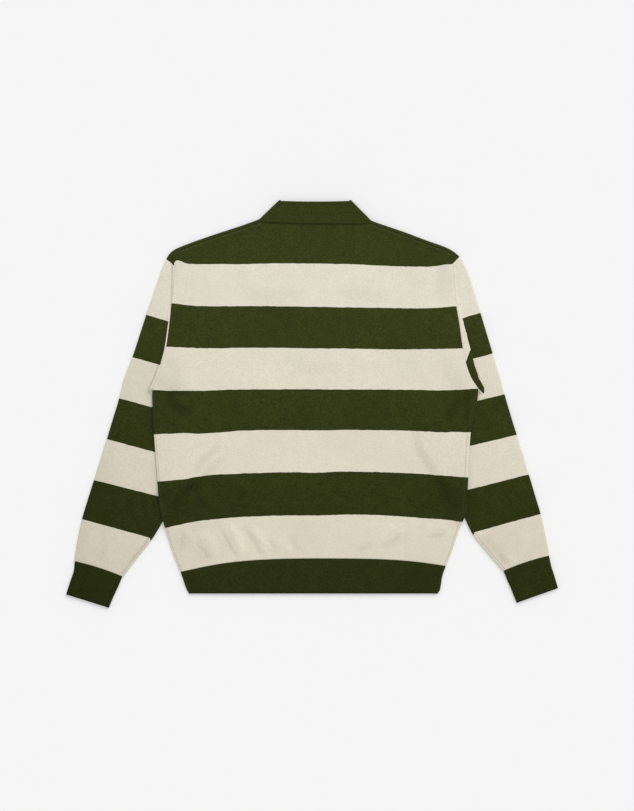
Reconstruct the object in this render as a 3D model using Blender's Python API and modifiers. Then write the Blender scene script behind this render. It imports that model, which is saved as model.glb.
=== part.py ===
"""Polo sweater with wide stripes, laid flat with its front down and its back up.

The garment is built as the cloth pieces that are sewn together: back, front, two sleeves,
two cuffs, two hem bands, a folded collar, a placket of two bands and its buttons. Each piece
is one knit wall. The body lies on the sleeves, which are folded down beside it, so the wall
heights come from one function, lift, which says how far the body is raised at any place.

Axes: +X to the garment's right as it is seen from above, +Y to the collar, +Z up. The lowest
faces lie at Z = 0 and the origin is at the middle of the garment's outline.
Tables are in millimetres; meshes are made in metres.
"""

import math
from collections import namedtuple

import bmesh
import bpy
import numpy as np

MM = 0.001

# Knit walls and how they lie on each other
WALL = 2.0                                # thickness of the knit
AIR = 1.2                                 # between a garment's two walls when it lies flat
SEAM_GAP = 0.3                            # between two pieces at a seam
HALF_PITCH = (WALL + AIR) / 2             # from the middle of a flat tube to each wall's middle
FOLD_EDGE = HALF_PITCH + WALL / 2         # half the thickness of a flat tube
OVER_SLEEVE = 2 * FOLD_EDGE + 0.5         # how far the body is raised where a sleeve lies below
OVER_COLLAR = 2.7                         # how far it is raised over the collar leaves and buttons
ARC_STEPS = 4                             # facets in a fold of half a turn

# Body
CENTRE_X = 5.7                            # the collar's and placket's centre line
REACH = 290.0                             # from the centre line to the underarm
STRAIGHT_REACH = 30.0                     # columns this near the centre run straight down
UNDERARM_Y = 25.9
LAST_UPPER_Y = UNDERARM_Y + 1.0           # the lowest row that still ends at an armhole
SHOULDER_WRAP = 6.3                       # how far the front comes over the shoulder
OUTER_COLUMNS = [93.2, 118.0, 146.0, 173.0, 199.0, 223.0, 244.0, 262.0, 277.0, REACH]
NECK_EASE = 0.128                         # columns near the neck lie out by up to this share
COURSE_BOW = 2.8                          # how late the rows of knitting bend towards the sides

Shoulder = namedtuple("Shoulder", "out left_height right_height")
SHOULDERS = [
    Shoulder(90.8, 326.2, 323.7),
    Shoulder(100.2, 323.1, 320.5),
    Shoulder(110.5, 320.4, 317.9),
    Shoulder(151.5, 308.9, 307.0),
    Shoulder(200.0, 293.2, 289.6),
    Shoulder(228.0, 280.8, 278.3),
    Shoulder(246.2, 270.5, 268.5),
    Shoulder(254.5, 265.5, 263.5),
]

Edge = namedtuple("Edge", "height left right")
ARMHOLES = [
    Edge(266.0, -247.5, 250.8),
    Edge(258.4, -247.4, 250.7),
    Edge(251.6, -245.6, 250.3),
    Edge(214.8, -247.2, 252.9),
    Edge(176.7, -250.6, 256.8),
    Edge(140.0, -254.7, 262.6),
    Edge(101.7, -259.9, 267.7),
    Edge(69.5, -267.7, 275.6),
    Edge(47.4, -274.7, 284.0),
    Edge(25.9, -284.6, 295.7),
]
SIDES = [
    Edge(25.9, -284.6, 295.7),
    Edge(5.0, -284.4, 293.4),
    Edge(-24.0, -283.0, 286.6),
    Edge(-53.0, -281.0, 280.8),
    Edge(-94.0, -277.9, 278.1),
    Edge(-135.0, -274.7, 276.3),
    Edge(-185.0, -270.6, 274.0),
    Edge(-200.0, -267.6, 271.5),
    Edge(-222.0, -262.0, 262.0),
    Edge(-260.0, -248.9, 247.9),
    Edge(-289.5, -237.6, 236.6),
    Edge(-306.0, -231.4, 230.8),
    Edge(-333.0, -221.9, 226.0),
    Edge(-338.0, -218.2, 221.6),
]
SIDE_SEAM_INSETS = [                      # from the side's edge in to the seam on the back
    Edge(25.9, 2.9, 2.9),
    Edge(5.0, 3.5, 5.0),
    Edge(-24.0, 4.5, 8.0),
    Edge(-60.0, 5.0, 9.0),
    Edge(-190.0, 6.0, 8.5),
    Edge(-222.0, 5.0, 4.5),
    Edge(-338.0, 4.5, 4.0),
]
ARMHOLE_RIDGES = [                        # how far the body's armhole edges are raised
    Edge(205.0, 0.0, 0.0),
    Edge(150.0, 0.8, 2.5),
    Edge(100.0, 2.2, 4.2),
    Edge(60.0, 3.8, 5.2),
    Edge(25.9, OVER_SLEEVE, OVER_SLEEVE),
]
RIDGE_LEVEL_WIDTH = 13.0                  # the ridge beside an armhole is level, then falls
RIDGE_WIDTH = 30.0
TUCKS = [                                 # width of the tuck that lies beside each armhole seam
    Edge(200.0, 1.2, 1.2),
    Edge(152.0, 2.5, 6.0),
    Edge(100.0, 3.0, 13.0),
    Edge(62.0, 3.0, 13.0),
    Edge(27.0, 3.0, 9.0),
]
TUCK_SLOPE = 5.0                          # width over which a tuck comes down on to the sleeve

Course = namedtuple("Course", "left middle right")
COURSES = [                               # heights of the rows of knitting between the stripes
    Course(25.9, 25.9, 25.9),
    Course(-54.7, -46.4, -51.0),
    Course(-138.2, -122.9, -132.0),
    Course(-221.3, -197.1, -210.0),
    Course(-300.0, -275.3, -289.5),
    Course(-338.0, -338.0, -337.6),
]
BAND_COURSE = 4                           # the hem bands start at this course
UPPER_ROWS = [0.0, 0.05, 0.12, 0.21, 0.3, 0.4, 0.5, 0.6, 0.7, 0.8, 0.9, 1.0]
SLIT_ROW = 8                              # the placket's slit ends at this upper row
LOWER_ROWS_PER_COURSE = 5
BAND_ROWS = 2
BAND_NARROWER = 1.2                       # the hem bands are narrower by this at each side

# Neck and placket
NECK_OUT = 90.8                           # from the centre line to the end of a shoulder seam
NECK_ANGLES = [90.0, 67.0, 45.0, 24.0]    # round the neckline, from the placket outwards
BACK_NECK_Y = 325.0
FRONT_NECK_Y = 252.0
SLIT_HALF_WIDTH = 15.0
BAND_WALL = 1.4
UNDER_BAND_WALL = 1.2
BUTTON_HEIGHTS = [238.0, 180.0, 122.0]
ButtonStep = namedtuple("ButtonStep", "radius level")
BUTTON_PROFILE = [                        # from the middle of the face, over the rim, to the back
    ButtonStep(0.0, 0.5),
    ButtonStep(3.4, 0.5),
    ButtonStep(4.2, 0.0),
    ButtonStep(5.1, 0.0),
    ButtonStep(5.6, 0.6),
    ButtonStep(5.6, 1.6),
    ButtonStep(4.8, 2.4),
    ButtonStep(0.0, 2.4),
]
BUTTON_FACETS = 16
BUTTON_HOLE_RADIUS = 0.7
BUTTON_HOLE_OFFSET = 1.5                  # from the button's middle to each hole
BUTTON_HOLE_DEPTH = 5.0
BUTTON_HOLE_FACETS = 6

# Collar, folded over along its top edge and creased at each side of the neck
STAND_LEVEL = HALF_PITCH                  # from the collar's middle plane to the stand's wall
FALL_LEVEL = OVER_COLLAR + FOLD_EDGE - WALL / 2
CollarSide = namedtuple(
    "CollarSide",
    "side fold_x fold_y fall_x fall_y stand_x stand_y throat_x throat_y point_x point_y",
)
COLLAR_SIDES = [
    CollarSide(-1, -56.5, 358.6, -91.0, 322.1, -82.6, 325.5, 0.7, 270.0, -46.0, 222.0),
    CollarSide(1, 66.5, 357.9, 101.7, 319.7, 94.0, 323.0, 10.7, 270.0, 57.4, 222.0),
]
FOLD_SAG = 3.0                            # the folded top edge dips in the middle
FALL_SAG = 0.8
STAND_STEPS = 3
FALL_STEPS = 4

# Sleeves: a row for each section across them. The cap's sections start at the armhole on the
# rows of UPPER_ROWS, and the arm's go from the underarm to the cuff.
CapSection = namedtuple("CapSection", "outer_x outer_y")
ArmSection = namedtuple("ArmSection", "inner_x inner_y outer_x outer_y")
LEFT_CAP = [
    CapSection(-249.4, 265.0),
    CapSection(-258.5, 257.0),
    CapSection(-266.8, 236.9),
    CapSection(-273.8, 217.5),
    CapSection(-280.5, 198.2),
    CapSection(-287.8, 177.0),
    CapSection(-295.6, 154.3),
    CapSection(-302.8, 132.0),
    CapSection(-310.1, 109.5),
    CapSection(-317.5, 87.0),
    CapSection(-326.8, 62.8),
    CapSection(-335.7, 38.8),
]
LEFT_ARM = [
    ArmSection(-288.9, 17.2, -338.3, 29.5),
    ArmSection(-262.2, 5.8, -339.3, 25.3),
    ArmSection(-235.5, -3.3, -340.3, 21.5),
    ArmSection(-212.4, -16.6, -341.8, 15.7),
    ArmSection(-194.6, -28.2, -343.4, 9.0),
    ArmSection(-172.0, -48.0, -347.0, -4.0),
    ArmSection(-162.5, -73.6, -353.6, -24.8),
    ArmSection(-168.0, -89.0, -358.2, -40.0),
    ArmSection(-185.7, -106.5, -364.5, -61.3),
    ArmSection(-203.0, -124.0, -370.6, -82.0),
    ArmSection(-217.7, -139.5, -375.9, -99.5),
    ArmSection(-243.5, -171.5, -386.9, -135.0),
    ArmSection(-264.9, -207.1, -398.9, -173.0),
    ArmSection(-287.1, -240.0, -409.2, -208.3),
    ArmSection(-315.6, -276.5, -417.3, -248.2),
    ArmSection(-336.9, -308.6, -422.6, -281.1),
]
LEFT_CUFF = [
    ArmSection(-344.5, -326.5, -423.4, -296.0),
    ArmSection(-353.0, -344.5, -430.4, -317.5),
    ArmSection(-360.3, -362.3, -437.2, -339.0),
]
RIGHT_CAP = [
    CapSection(252.6, 268.0),
    CapSection(262.2, 260.0),
    CapSection(271.9, 241.0),
    CapSection(280.1, 222.0),
    CapSection(286.0, 202.3),
    CapSection(292.7, 180.0),
    CapSection(299.4, 157.5),
    CapSection(306.3, 134.5),
    CapSection(313.5, 110.8),
    CapSection(320.7, 86.8),
    CapSection(328.1, 61.8),
    CapSection(335.6, 36.7),
]
RIGHT_ARM = [
    ArmSection(299.0, 17.5, 338.5, 26.9),
    ArmSection(275.0, 6.0, 339.9, 21.8),
    ArmSection(250.0, -5.0, 341.3, 17.3),
    ArmSection(225.0, -20.0, 343.8, 8.8),
    ArmSection(203.0, -37.0, 347.0, -2.2),
    ArmSection(188.0, -57.0, 351.4, -17.0),
    ArmSection(189.0, -75.0, 356.7, -34.7),
    ArmSection(203.0, -93.0, 362.5, -54.6),
    ArmSection(216.0, -112.0, 368.7, -75.0),
    ArmSection(226.0, -132.0, 374.9, -95.5),
    ArmSection(240.0, -159.0, 383.3, -123.0),
    ArmSection(255.0, -177.0, 389.3, -143.5),
    ArmSection(270.6, -195.0, 394.9, -162.5),
    ArmSection(289.6, -232.0, 406.2, -200.7),
    ArmSection(311.0, -262.3, 416.3, -231.4),
    ArmSection(339.2, -298.2, 421.6, -270.9),
]
RIGHT_CUFF = [
    ArmSection(346.5, -312.5, 425.5, -288.5),
    ArmSection(353.2, -327.6, 431.0, -306.0),
    ArmSection(363.5, -353.6, 437.2, -327.1),
]
CUFF_NARROWER = 1.0                       # a cuff starts narrower than its sleeve at each side
SLEEVE_SEAM_INSET = 5.0                   # the underarm seam shows on top, this far in
LEAST_TUCK = 1.2                          # spacing of the first points where there is no tuck
LEVEL_END = 1.5                           # the lower wall is level this near the armhole seam
SLOPE_SHARES = [0.0, 0.3, 0.6, 1.0]       # places down the slope of a tuck
NARROW_SHARE = 0.6                        # a tuck and its slope take no more of a narrow section
TOP_STEPS = 3
UNDER_STEPS = 4

# Where the body is raised: full height within the margin, then falling over the fade
SLEEVE_MARGIN, SLEEVE_FADE = 12.0, 24.0
THROAT_MARGIN, THROAT_FADE = 10.0, 30.0
Box = namedtuple("Box", "left bottom right top")
THROAT_BOXES = [Box(-100.0, 218.0, 112.0, 370.0), Box(-12.0, 88.0, 23.0, 260.0)]

GREEN = (0.035, 0.045, 0.010, 1.0)
CREAM = (0.70, 0.66, 0.54, 1.0)
BUTTON_GREEN = (0.030, 0.036, 0.014, 1.0)


def smooth(amount):
    """Rise from 0 to 1 with level ends."""
    amount = min(max(amount, 0.0), 1.0)
    return amount * amount * (3.0 - 2.0 * amount)


def mix(start, end, amount):
    """The value or point this far from start to end."""
    return start + (end - start) * amount


def between(start, end, share):
    """The point in plan this far from start to end."""
    return mix(np.array(start), np.array(end), share)


def curve_value(positions, values, position):
    """Read a smooth curve through table rows that never overshoots them."""
    xs = np.asarray(positions, dtype=float)
    ys = np.asarray(values, dtype=float)
    if xs[0] > xs[-1]:
        xs, ys = xs[::-1], ys[::-1]
    position = min(max(position, xs[0]), xs[-1])
    steps = np.diff(xs)
    slopes = np.diff(ys) / steps
    tangents = np.zeros(len(xs))
    tangents[0], tangents[-1] = slopes[0], slopes[-1]
    for i in range(1, len(xs) - 1):
        if slopes[i - 1] * slopes[i] > 0.0:
            before, after = steps[i - 1], steps[i]
            weight = (before + 2.0 * after) / (3.0 * (before + after))
            tangents[i] = slopes[i - 1] * slopes[i] / mix(slopes[i - 1], slopes[i], weight)
    i = min(int(np.searchsorted(xs, position, side="right")) - 1, len(steps) - 1)
    t = (position - xs[i]) / steps[i]
    bend = t * t * (3.0 - 2.0 * t)
    lead = tangents[i] * t * (1.0 - t) ** 2 - tangents[i + 1] * t * t * (1.0 - t)
    return float(ys[i] + (ys[i + 1] - ys[i]) * bend + lead * steps[i])


def edge_value(table, side, height):
    """Read the left (side -1) or right (side 1) column of an Edge table at a height."""
    heights = [row.height for row in table]
    values = [row.left if side < 0 else row.right for row in table]
    return curve_value(heights, values, height)


def armhole_x(side, height):
    """Where the back and front end at the armhole, half a seam gap short of the seam."""
    return edge_value(ARMHOLES, side, height) - side * SEAM_GAP / 2


def segment_distance(x, y, start, end):
    """Distance from a point to a straight line between two points."""
    run = end - start
    along = np.dot([x - start[0], y - start[1]], run) / max(np.dot(run, run), 1e-9)
    nearest = start + run * min(max(along, 0.0), 1.0)
    return math.hypot(x - nearest[0], y - nearest[1])


def is_inside(x, y, outline):
    """Whether a point lies within a closed outline."""
    inside = False
    for start, end in zip(outline, np.roll(outline, -1, axis=0)):
        if (start[1] > y) != (end[1] > y):
            crossing = start[0] + (y - start[1]) / (end[1] - start[1]) * (end[0] - start[0])
            inside ^= x < crossing
    return bool(inside)


def arm_outline(sections):
    """The plan of a sleeve below the underarm."""
    inner = [(row.inner_x, row.inner_y) for row in sections]
    outer = [(row.outer_x, row.outer_y) for row in sections]
    return np.array(inner + outer[::-1])


ARM_OUTLINES = [arm_outline(LEFT_ARM), arm_outline(RIGHT_ARM)]


def sleeve_cover(x, y):
    """1 where a sleeve lies under the body, falling to 0 away from it."""
    cover = 0.0
    for outline in ARM_OUTLINES:
        if is_inside(x, y, outline):
            return 1.0
        pairs = zip(outline, np.roll(outline, -1, axis=0))
        away = min(segment_distance(x, y, start, end) for start, end in pairs)
        cover = max(cover, 1.0 - smooth((away - SLEEVE_MARGIN) / SLEEVE_FADE))
    return cover


def throat_cover(x, y):
    """1 over the collar leaves and the placket, falling to 0 away from them."""
    away = min(
        math.hypot(max(box.left - x, 0.0, x - box.right), max(box.bottom - y, 0.0, y - box.top))
        for box in THROAT_BOXES
    )
    return 1.0 - smooth((away - THROAT_MARGIN) / THROAT_FADE)


def ridge_height(x, y):
    """How far the armhole edges raise the body between the shoulder and the underarm."""
    side = -1 if x < CENTRE_X else 1
    inside = abs(edge_value(ARMHOLES, side, y) - x)
    fall = smooth((inside - RIDGE_LEVEL_WIDTH) / RIDGE_WIDTH)
    below = smooth((UNDERARM_Y - y) / RIDGE_WIDTH)
    return edge_value(ARMHOLE_RIDGES, side, y) * (1.0 - fall) * (1.0 - below)


def lift(x, y):
    """How far the body's lower wall is raised above the surface it lies on."""
    covers = (OVER_SLEEVE * sleeve_cover(x, y), OVER_COLLAR * throat_cover(x, y))
    return max(*covers, ridge_height(x, y))


def material(name, colour, roughness):
    """A plain finish for one kind of piece."""
    finish = bpy.data.materials.new(name)
    finish.use_nodes = True
    shader = finish.node_tree.nodes["Principled BSDF"]
    shader.inputs["Base Color"].default_value = colour
    shader.inputs["Roughness"].default_value = roughness
    shader.inputs["Metallic"].default_value = 0.0
    return finish


def place(mesh, name, collection, finish):
    """Put a finished mesh in the garment's collection."""
    mesh.materials.append(finish)
    piece = bpy.data.objects.new(name, mesh)
    collection.objects.link(piece)
    return piece


def cloth(name, points, is_cloth, collection, finish):
    """Shape a grid to the wall's middle surface, cut away what isn't cloth and thicken it.

    points[row][column] are places in millimetres. is_cloth(row, column) says whether the cell
    between a row and column and the next ones belongs to the piece.
    """
    rows, columns = len(points), len(points[0])
    shape = bmesh.new()
    bmesh.ops.create_grid(shape, x_segments=columns - 1, y_segments=rows - 1, size=0.5)
    cells = {}
    for corner in shape.verts:
        column = round((corner.co.x + 0.5) * (columns - 1))
        row = round((corner.co.y + 0.5) * (rows - 1))
        cells[corner] = (row, column)
    gone = []
    for face in shape.faces:
        row = min(cells[corner][0] for corner in face.verts)
        column = min(cells[corner][1] for corner in face.verts)
        if not is_cloth(row, column):
            gone.append(face)
    for corner, (row, column) in cells.items():
        corner.co = [value * MM for value in points[row][column]]
    bmesh.ops.delete(shape, geom=gone, context="FACES")
    mesh = bpy.data.meshes.new(name)
    shape.to_mesh(mesh)
    shape.free()
    piece = place(mesh, name, collection, finish)
    mesh.shade_smooth()
    wall = piece.modifiers.new("Wall", "SOLIDIFY")
    wall.thickness = WALL * MM
    wall.offset = 0.0
    wall.use_even_offset = True
    wall.use_quality_normals = True
    return piece


# Body ------------------------------------------------------------------------------------

def neck_outs():
    """Distances from the centre line to the places along half of the neckline."""
    reach = NECK_OUT - SLIT_HALF_WIDTH
    return [SLIT_HALF_WIDTH + reach * math.cos(math.radians(angle)) for angle in NECK_ANGLES]


def body_columns():
    """Places across the body, from the left underarm to the right one."""
    slope = REACH - STRAIGHT_REACH
    # The shoulder is narrower than the underarm and draws the columns in, so they start wider.
    ease = [NECK_EASE * smooth((out - STRAIGHT_REACH) / slope) for out in neck_outs()]
    eased = [out * (1.0 + more) for out, more in zip(neck_outs(), ease)]
    half = [0.0] + eased + OUTER_COLUMNS
    return [-out for out in half[:0:-1]] + half


def column_x(out, side_x):
    """Where a column lies on a row whose side is at side_x."""
    side = -1 if out < 0 else 1
    stretch = (side_x - CENTRE_X) / (side * REACH) - 1.0
    share = smooth((abs(out) - STRAIGHT_REACH) / (REACH - STRAIGHT_REACH))
    return CENTRE_X + out * (1.0 + stretch * share)


def shoulder_y(x):
    """Height of the shoulder's folded edge."""
    out = [row.out for row in SHOULDERS]
    heights = [row.left_height if x < CENTRE_X else row.right_height for row in SHOULDERS]
    return curve_value(out, heights, abs(x - CENTRE_X))


def back_top_y(x):
    """The back's upper edge: the neckline, then the shoulder seam."""
    share = min(abs(x - CENTRE_X) / NECK_OUT, 1.0)
    return mix(BACK_NECK_Y, shoulder_y(x) - SHOULDER_WRAP, share ** 6)


def front_top_y(x, drop=SHOULDER_WRAP):
    """The front's neckline, then a line that lies drop below the shoulder's edge."""
    out = abs(x - CENTRE_X)
    end = shoulder_y(x) - drop
    if out >= NECK_OUT:
        return end
    reach = max(out - SLIT_HALF_WIDTH, 0.0) / (NECK_OUT - SLIT_HALF_WIDTH)
    return mix(end, FRONT_NECK_Y, math.sqrt(1.0 - min(reach, 1.0) ** 2))


def armhole_y(side, down, drop=SHOULDER_WRAP):
    """Height at which an upper row meets the armhole."""
    top = shoulder_y(edge_value(ARMHOLES, side, ARMHOLES[0].height)) - drop
    return mix(top, LAST_UPPER_Y, down)


def upper_row(columns, down, top_y, drop=SHOULDER_WRAP):
    """Plan of a row between the shoulders and the underarms."""
    plan = []
    for out in columns:
        side = -1 if out < 0 else 1
        top_x = column_x(out, armhole_x(side, armhole_y(side, 0.0, drop)))
        x = column_x(out, armhole_x(side, armhole_y(side, down, drop)))
        plan.append((x, mix(top_y(top_x), LAST_UPPER_Y, down)))
    return plan


def course_heights(course):
    """Left, middle and right heights of a row of knitting."""
    at = list(range(len(COURSES)))
    return [curve_value(at, [row[k] for row in COURSES], course) for k in range(3)]


def seam_inset(side, y):
    """From a side's edge in to the back's own edge at the seam."""
    return edge_value(SIDE_SEAM_INSETS, side, y) + SEAM_GAP


def fold_inset(side, y):
    """From a side's edge in to where the front's lower wall starts to fold up."""
    return FOLD_EDGE


def lower_row(columns, course, inset, narrower):
    """Plan of a row between the underarms and the hem; inset(side, y) gives its ends."""
    left, middle, right = course_heights(course)
    plan = []
    for out in columns:
        side = -1 if out < 0 else 1
        side_y = left if side < 0 else right
        short = narrower + inset(side, side_y)
        x = column_x(out, edge_value(SIDES, side, side_y) - side * short)
        y = mix(middle, side_y, abs(out / REACH) ** COURSE_BOW)
        plan.append((x, y))
    return plan


def lower_courses(first, last, count):
    """Courses from one to another, evenly spaced."""
    return [mix(first, last, k / count) for k in range(count + 1)]


def back_rows(courses, with_yoke, narrower=0.0):
    """The back's middle surface, or the back hem band's."""
    columns = body_columns()
    rows = []
    if with_yoke:
        rows = [upper_row(columns, down, back_top_y) for down in UPPER_ROWS]
    rows += [lower_row(columns, course, seam_inset, narrower) for course in courses]
    level = FOLD_EDGE + HALF_PITCH
    return [[(x, y, lift(x, y) + level) for x, y in row] for row in rows]


def side_wrap(side, y, narrower):
    """The front's way round a side's fold and on to the back, from below, at one height."""
    edge = edge_value(SIDES, side, y) - side * narrower
    seam = edge - side * edge_value(SIDE_SEAM_INSETS, side, y)
    middle = edge - side * FOLD_EDGE
    ring = []
    for step in range(1, ARC_STEPS + 1):
        turn = math.pi * step / ARC_STEPS
        ring.append((middle + side * HALF_PITCH * math.sin(turn), y, -HALF_PITCH * math.cos(turn)))
    return ring + [(seam, y, HALF_PITCH)]


def front_rows(courses, with_yoke, narrower=0.0):
    """The front's middle surface, with its wraps at the sides and over the shoulders."""
    columns = body_columns()
    wrap = ARC_STEPS + 1
    rows = []
    if with_yoke:
        first = upper_row(columns, 0.0, lambda x: front_top_y(x, FOLD_EDGE), FOLD_EDGE)
        for step in range(wrap, 0, -1):
            turn = math.pi * min(step, ARC_STEPS) / ARC_STEPS
            rise = HALF_PITCH * math.sin(turn)
            if step == wrap:
                rise = FOLD_EDGE - SHOULDER_WRAP + SEAM_GAP
            rows.append([(x, y + rise, -HALF_PITCH * math.cos(turn)) for x, y in first])
        for plan in [first] + [upper_row(columns, down, front_top_y) for down in UPPER_ROWS[1:]]:
            rows.append([(x, y, -HALF_PITCH) for x, y in plan])
        rows = [[row[0]] * wrap + row + [row[-1]] * wrap for row in rows]
    for course in courses:
        left, _, right = course_heights(course)
        plan = lower_row(columns, course, fold_inset, narrower)
        lower = [(x, y, -HALF_PITCH) for x, y in plan]
        rows.append(side_wrap(-1, left, narrower)[::-1] + lower + side_wrap(1, right, narrower))
    return [[(x, y, lift(x, y) + FOLD_EDGE + rise) for x, y, rise in row] for row in rows]


def panel_courses():
    """Courses of the back and front, from the underarm to just above the hem bands."""
    count = LOWER_ROWS_PER_COURSE * BAND_COURSE
    gap = SEAM_GAP / (COURSES[BAND_COURSE - 1].middle - COURSES[BAND_COURSE].middle)
    return lower_courses(0.0, BAND_COURSE - gap, count)


def band_courses():
    """Courses of the hem bands."""
    return lower_courses(BAND_COURSE, len(COURSES) - 1, BAND_ROWS)


def make_back(collection, finish):
    """The back, from the shoulder seams and the neckline to the hem band."""
    rows = back_rows(panel_courses(), with_yoke=True)
    return cloth("back_panel", rows, lambda row, column: True, collection, finish)


def make_front(collection, finish):
    """The front, with the placket's slit, wrapped over the shoulders and round the sides."""
    rows = front_rows(panel_courses(), with_yoke=True)
    columns = body_columns()
    wrap = ARC_STEPS + 1
    first_lower = wrap + len(UPPER_ROWS)
    slit_end = wrap + SLIT_ROW

    def is_cloth(row, column):
        if column < wrap or column >= wrap + len(columns) - 1:
            return row >= first_lower
        near = max(abs(columns[column - wrap]), abs(columns[column - wrap + 1]))
        if row < wrap:
            return near > OUTER_COLUMNS[0]
        return near > columns[len(columns) // 2 + 1] or row >= slit_end

    return cloth("front_panel", rows, is_cloth, collection, finish)


def make_hem_bands(collection, finish):
    """The two rib bands at the hem, a little narrower than the panels above them."""
    def whole(row, column):
        return True

    back = back_rows(band_courses(), False, BAND_NARROWER)
    front = front_rows(band_courses(), False, BAND_NARROWER)
    cloth("hem_band_back", back, whole, collection, finish)
    cloth("hem_band_front", front, whole, collection, finish)


# Sleeves and cuffs -----------------------------------------------------------------------

def top_distances(start, far, tuck):
    """Places on a section's top wall from its seam to the outer fold, closest on the slope."""
    steps = [0.0, tuck / 2] + [tuck + TUCK_SLOPE * share for share in SLOPE_SHARES]
    shrink = min(1.0, (NARROW_SHARE * far - start) / steps[-1])
    places = [start + step * shrink for step in steps]
    return places + [mix(places[-1], far, step / TOP_STEPS) for step in range(1, TOP_STEPS + 1)]


def under_distances(end, far, tuck):
    """Places on a section's lower wall from the outer fold back to its inner end."""
    near = max(min(tuck + TUCK_SLOPE, NARROW_SHARE * far), end + 2.0 * LEVEL_END)
    places = [mix(far, near, step / UNDER_STEPS) for step in range(1, UNDER_STEPS + 1)]
    return places + [mix(end + LEVEL_END, near, 0.5), end + LEVEL_END, end]


def section_line(inner, outer, start=SLEEVE_SEAM_INSET, rise=0.0, tuck=LEAST_TUCK):
    """One section of a flat sleeve as a wall that starts at its seam and ends there.

    It runs from the seam over the top to the outer fold, back underneath, and round the inner
    fold to the seam. At the armhole (start 0) the inner fold is left out, and both ends are
    raised to the body's walls: the top one stays up for the width of the tuck.
    """
    span = np.array(outer) - np.array(inner)
    width = float(np.hypot(*span))
    far = width - FOLD_EDGE
    end = FOLD_EDGE if start > 0.0 else 0.0

    def at(distance, level, raised=0.0):
        x, y = np.array(inner) + span / width * distance
        return (float(x), float(y), FOLD_EDGE + level + raised)

    line = []
    for distance in top_distances(start, far, tuck):
        raised = rise * (1.0 - smooth((distance - tuck) / TUCK_SLOPE))
        line.append(at(distance, HALF_PITCH, raised))
    turns = [math.pi * step / ARC_STEPS for step in range(1, ARC_STEPS + 1)]
    for turn in turns:
        line.append(at(far + HALF_PITCH * math.sin(turn), HALF_PITCH * math.cos(turn)))
    for distance in under_distances(end, far, tuck):
        fallen = smooth((distance - LEVEL_END) / (tuck + TUCK_SLOPE - LEVEL_END))
        line.append(at(distance, -HALF_PITCH, rise * (1.0 - fallen)))
    for turn in turns:
        across = end - HALF_PITCH * math.sin(turn)
        line.append(at(across, -HALF_PITCH * math.cos(turn), rise))
    line.append(at(max(start - SEAM_GAP, end), HALF_PITCH, rise))
    return line


def section_ends(row):
    """The inner and outer fold of an arm section, in plan."""
    return (row.inner_x, row.inner_y), (row.outer_x, row.outer_y)


def sleeve_rows(side, cap, arm):
    """Sections of a sleeve from the shoulder to the cuff."""
    rows = []
    for down, row in zip(UPPER_ROWS, cap):
        height = armhole_y(side, down)
        x = edge_value(ARMHOLES, side, height) + side * SEAM_GAP / 2
        rise = lift(x, height)
        tuck = edge_value(TUCKS, side, height)
        rows.append(section_line((x, height), (row.outer_x, row.outer_y), 0.0, rise, tuck))
    return rows + [section_line(*section_ends(row)) for row in arm]


def make_sleeve(name, side, cap, arm, collection, finish):
    """A sleeve: open to the body at the armhole, then closed by its own seam."""
    rows = sleeve_rows(side, cap, arm)
    open_columns = len(rows[0]) - ARC_STEPS - 2

    def is_cloth(row, column):
        return column < open_columns or row >= len(cap)

    return cloth(name, rows, is_cloth, collection, finish)


def cuff_start(sleeve_end):
    """The first section of a cuff: a seam gap past the sleeve's last one and narrower."""
    inner, outer = (np.array(place) for place in section_ends(sleeve_end))
    across = (outer - inner) / np.hypot(*(outer - inner))
    down_arm = np.array((across[1], -across[0])) * math.copysign(1.0, across[0])
    shift = down_arm * SEAM_GAP
    start = inner + shift + across * CUFF_NARROWER
    end = outer + shift - across * CUFF_NARROWER
    return ArmSection(*start, *end)


def make_cuff(name, arm, sections, collection, finish):
    """A rib cuff, seamed in line with the sleeve."""
    rows = [section_line(*section_ends(row)) for row in [cuff_start(arm[-1])] + sections]
    return cloth(name, rows, lambda row, column: True, collection, finish)


# Collar ----------------------------------------------------------------------------------

def collar_strip(fold, stand, fall, out):
    """The collar's middle surface along one line from the neck seam over the fold to the edge.

    fold, stand and fall are places in plan; out is the way its two walls are parted.
    """
    middle = OVER_COLLAR + FOLD_EDGE
    radius = (FALL_LEVEL - STAND_LEVEL) / 2
    up = np.array(fold) - np.array(fall)
    up = up / np.hypot(*up)
    strip = []
    for step in range(STAND_STEPS, 0, -1):
        strip.append((between(fold, stand, step / STAND_STEPS), STAND_LEVEL))
    for step in range(ARC_STEPS + 1):
        turn = math.pi * step / ARC_STEPS
        level = mix(STAND_LEVEL, FALL_LEVEL, 0.5) - radius * math.cos(turn)
        strip.append((np.array(fold) + up * radius * math.sin(turn), level))
    for step in range(1, FALL_STEPS + 1):
        strip.append((between(fold, fall, step / FALL_STEPS), FALL_LEVEL))
    places = []
    for plan, level in strip:
        x, y = plan + np.array(out[:2]) * level
        places.append((float(x), float(y), middle + out[2] * level))
    return places


def front_neck_place(side, angle):
    """A place on the front neckline, a seam gap inside it."""
    reach = NECK_OUT - SLIT_HALF_WIDTH
    x = CENTRE_X + side * (SLIT_HALF_WIDTH + reach * math.cos(math.radians(angle)))
    height = front_top_y(x, FOLD_EDGE)
    inward = math.radians(angle)
    return (x - side * SEAM_GAP * math.cos(inward), height + SEAM_GAP * math.sin(inward))


def collar_front(row):
    """The collar's strips on the front, from the throat to the crease."""
    strips = []
    for angle in NECK_ANGLES:
        share = 1.0 - angle / 90.0
        fold = between((row.throat_x, row.throat_y), (row.fold_x, row.fold_y), share)
        fall = between((row.point_x, row.point_y), (row.fall_x, row.fall_y), share)
        strips.append(collar_strip(fold, front_neck_place(row.side, angle), fall, (0.0, 0.0, -1.0)))
    return strips


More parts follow.
